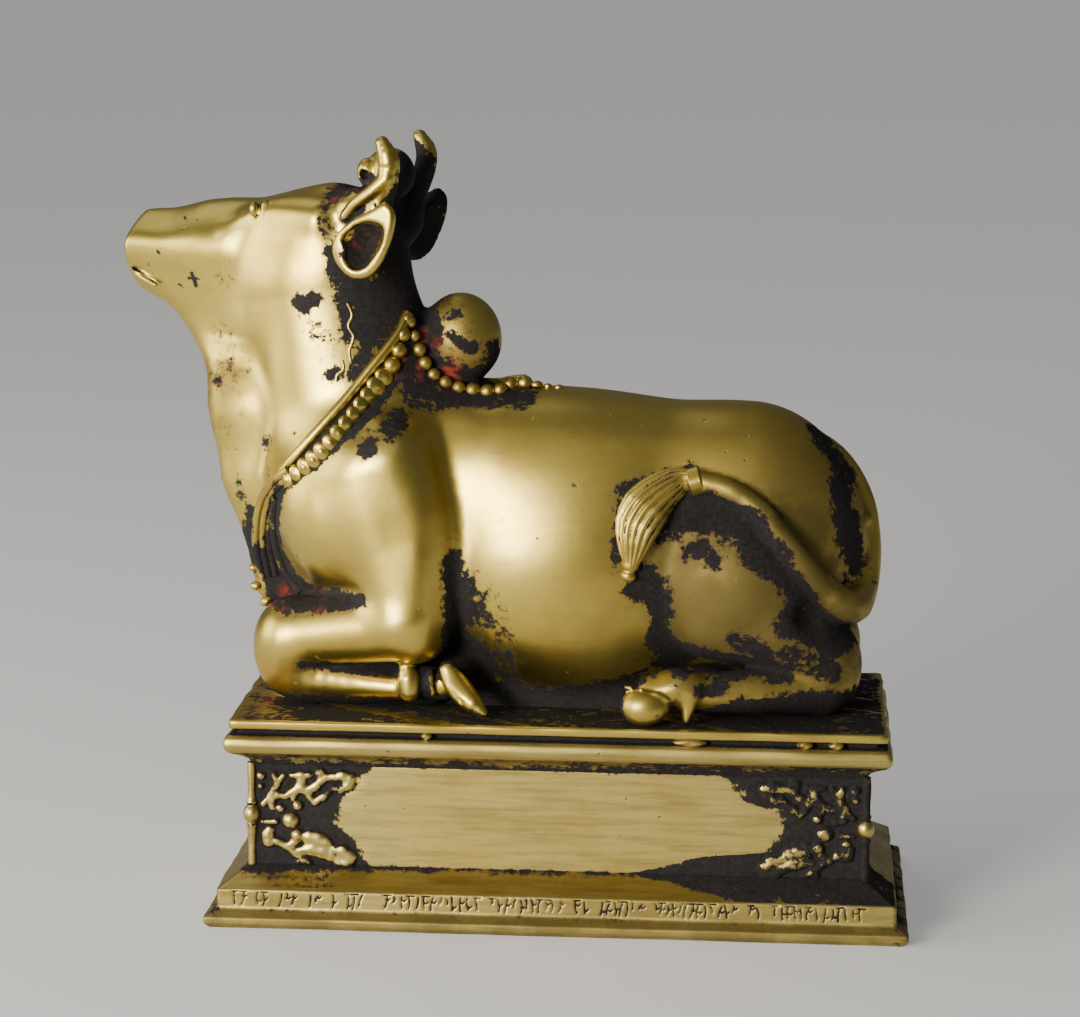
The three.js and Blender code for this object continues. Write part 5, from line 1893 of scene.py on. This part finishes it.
            points, faces = sweep(line, radius, sides=22)
            obj = new_mesh(f"plinth_rib_{name}", points, faces, lift=0.0)
            from_boss = np.abs(points[:, 2] - middle)
            soil(obj, hollow=0.45 * bump(from_boss - 2.6, 0.6),
                 grime=np.where(from_boss < b.boss_radius, 0.1, b.rib_grime[int(sx > 0)]))
            pieces.append(obj)
        return pieces

    def solder_lumps(self) -> list[Piece]:
        """The lumps of solder that bridge the groove under the slab, each at a place along it."""
        pieces = []
        y, z = self.necking_set_back - self.half[1] - 1.3, (self.torus_top + self.height) / 2
        for n, (x, half) in enumerate(self.solder):
            line = np.linspace([x - half, y, z], [x + half, y, z], 24)

            def radius(share: float, angles: Array) -> Array:
                swell = math.sqrt(max(1 - (2 * share - 1) ** 2, 0.004))
                return self.solder_radius * swell * (1 + 0.12 * np.sin(3 * angles + 9 * share))

            pieces.append(new_mesh(f"solder_{n}", *sweep(line, radius, sides=16, flat=1.5), lift=0.0))
            soil(pieces[-1], hollow=0.1, grime=0.35, film=0.6)
        return pieces

    def build(self, material: bpy.types.Material) -> None:
        """Makes and dresses every piece of the plinth."""
        for piece in (self.base(), self.waist(), self.crown(), *self.corners(), *self.solder_lumps()):
            finish_piece(piece, material, self.node, self.slot)


# The studio


@dataclass(frozen=True)
class Lamp:
    """A square soft lamp that looks at a point. Metres."""

    name: str
    place: Vec
    aim: Vec
    size: float
    power: float
    colour: Vec = (1.0, 1.0, 1.0)

    def build(self) -> None:
        """Hangs the lamp."""
        light = bpy.data.lights.new(self.name, "AREA")
        light.shape = "SQUARE"
        light.size = self.size
        light.energy = self.power
        light.color = self.colour
        turn = Matrix(look_along(np.array(self.aim) - np.array(self.place))).to_4x4()
        turn.translation = self.place
        linked(self.name, light).matrix_world = turn


def look_along(ahead: Array) -> list[list[float]]:
    """The rotation that turns a lamp's or camera's -Z along a direction, its top upward."""
    back = -ahead / np.linalg.norm(ahead)
    right = np.cross([0.0, 0.0, 1.0], back)
    right /= np.linalg.norm(right)
    return np.column_stack([right, np.cross(back, right), back]).tolist()


@dataclass
class Studio:
    """A pale floor, soft lamps and the camera at the photograph's angle."""

    camera_place: Vec = (0.0566008, -0.8409398, 0.2624393)
    camera_turn: Vec = (1.384175, -0.0050517, 0.0762977)
    lens: float = 110.0
    sensor_width: float = 36.0
    floor_tone: Colour = (0.62, 0.61, 0.59, 1)
    floor_glow: float = 0.38
    floor_roughness: float = 0.9
    floor_front: float = -0.34
    floor_far: float = 20.0
    sky: Colour = (0.55, 0.57, 0.6, 1)
    sky_power: float = 0.2
    day_power: float = 0.36
    day_width: float = 40.0
    day_place: Vec = (-0.5, 0.35, 1.0)
    lamps: tuple[Lamp, ...] = (
        Lamp("window", (-0.60, -0.98, 0.30), (0.0, 0.0, 0.11), 0.42, 21.0, (1.0, 0.96, 0.88)),
        Lamp("side fill", (-1.1, -0.25, 0.35), (0.0, 0.0, 0.12), 0.6, 8.2, (1.0, 0.98, 0.94)),
        Lamp("high fill", (-0.2, -0.8, 1.1), (0.0, 0.0, 0.1), 0.9, 1.1, (1.0, 0.98, 0.94)),
    )

    def floor(self) -> None:
        """Lays the pale floor."""
        mesh = bpy.data.meshes.new("floor")
        front = self.floor_front
        far = self.floor_far
        corners = [(-far, front, 0), (far, front, 0), (far, far, 0), (-far, far, 0)]
        mesh.from_pydata(corners, [], [(0, 1, 2, 3)])
        material = bpy.data.materials.new("pale floor")
        material.use_nodes = True
        Wiring(material.node_tree).fill(material.node_tree.nodes["Principled BSDF"], {
            "Base Color": self.floor_tone, "Roughness": self.floor_roughness,
            "Emission Color": self.floor_tone, "Emission Strength": self.floor_glow})
        mesh.materials.append(material)
        linked("floor", mesh)

    def daylight(self) -> None:
        """Lights the floor evenly, out to its far edge."""
        light = bpy.data.lights.new("daylight", "SUN")
        light.energy = self.day_power
        light.angle = math.radians(self.day_width)
        linked("daylight", light).matrix_world = Matrix(look_along(-np.array(self.day_place))).to_4x4()

    def build(self) -> None:
        """Sets up the floor, the sky, the lamps and the camera."""
        self.floor()
        self.daylight()
        world = bpy.data.worlds.new("studio")
        world.use_nodes = True
        Wiring(world.node_tree).fill(world.node_tree.nodes["Background"],
                                     {"Color": self.sky, "Strength": self.sky_power})
        bpy.context.scene.world = world
        for lamp in self.lamps:
            lamp.build()
        lens = bpy.data.cameras.new("camera")
        lens.sensor_width = self.sensor_width
        lens.lens = self.lens
        camera = linked("camera", lens)
        camera.location = self.camera_place
        camera.rotation_euler = self.camera_turn
        bpy.context.scene.camera = camera


def main() -> None:
    """Builds the studio, the bull and the plinth."""
    logging.basicConfig(level=logging.INFO, format="%(message)s")
    Studio().build()
    patina = Patina().group()
    figure = Figure()
    bull_brass = AgedBrass("aged brass of the bull").material(patina)
    plinth_brass = AgedBrass("aged brass of the plinth", metal=(0.6, 0.475, 0.15, 1),
                             warm=(0.52, 0.385, 0.11, 1), polish=0.38, brushed=0.5).material(patina)
    Bull(figure, Tail(), Ornaments(figure), Weather()).build(bull_brass)
    Plinth(Bracket(), ChiselRow()).build(plinth_brass)


if __name__ == "__main__":
    main()
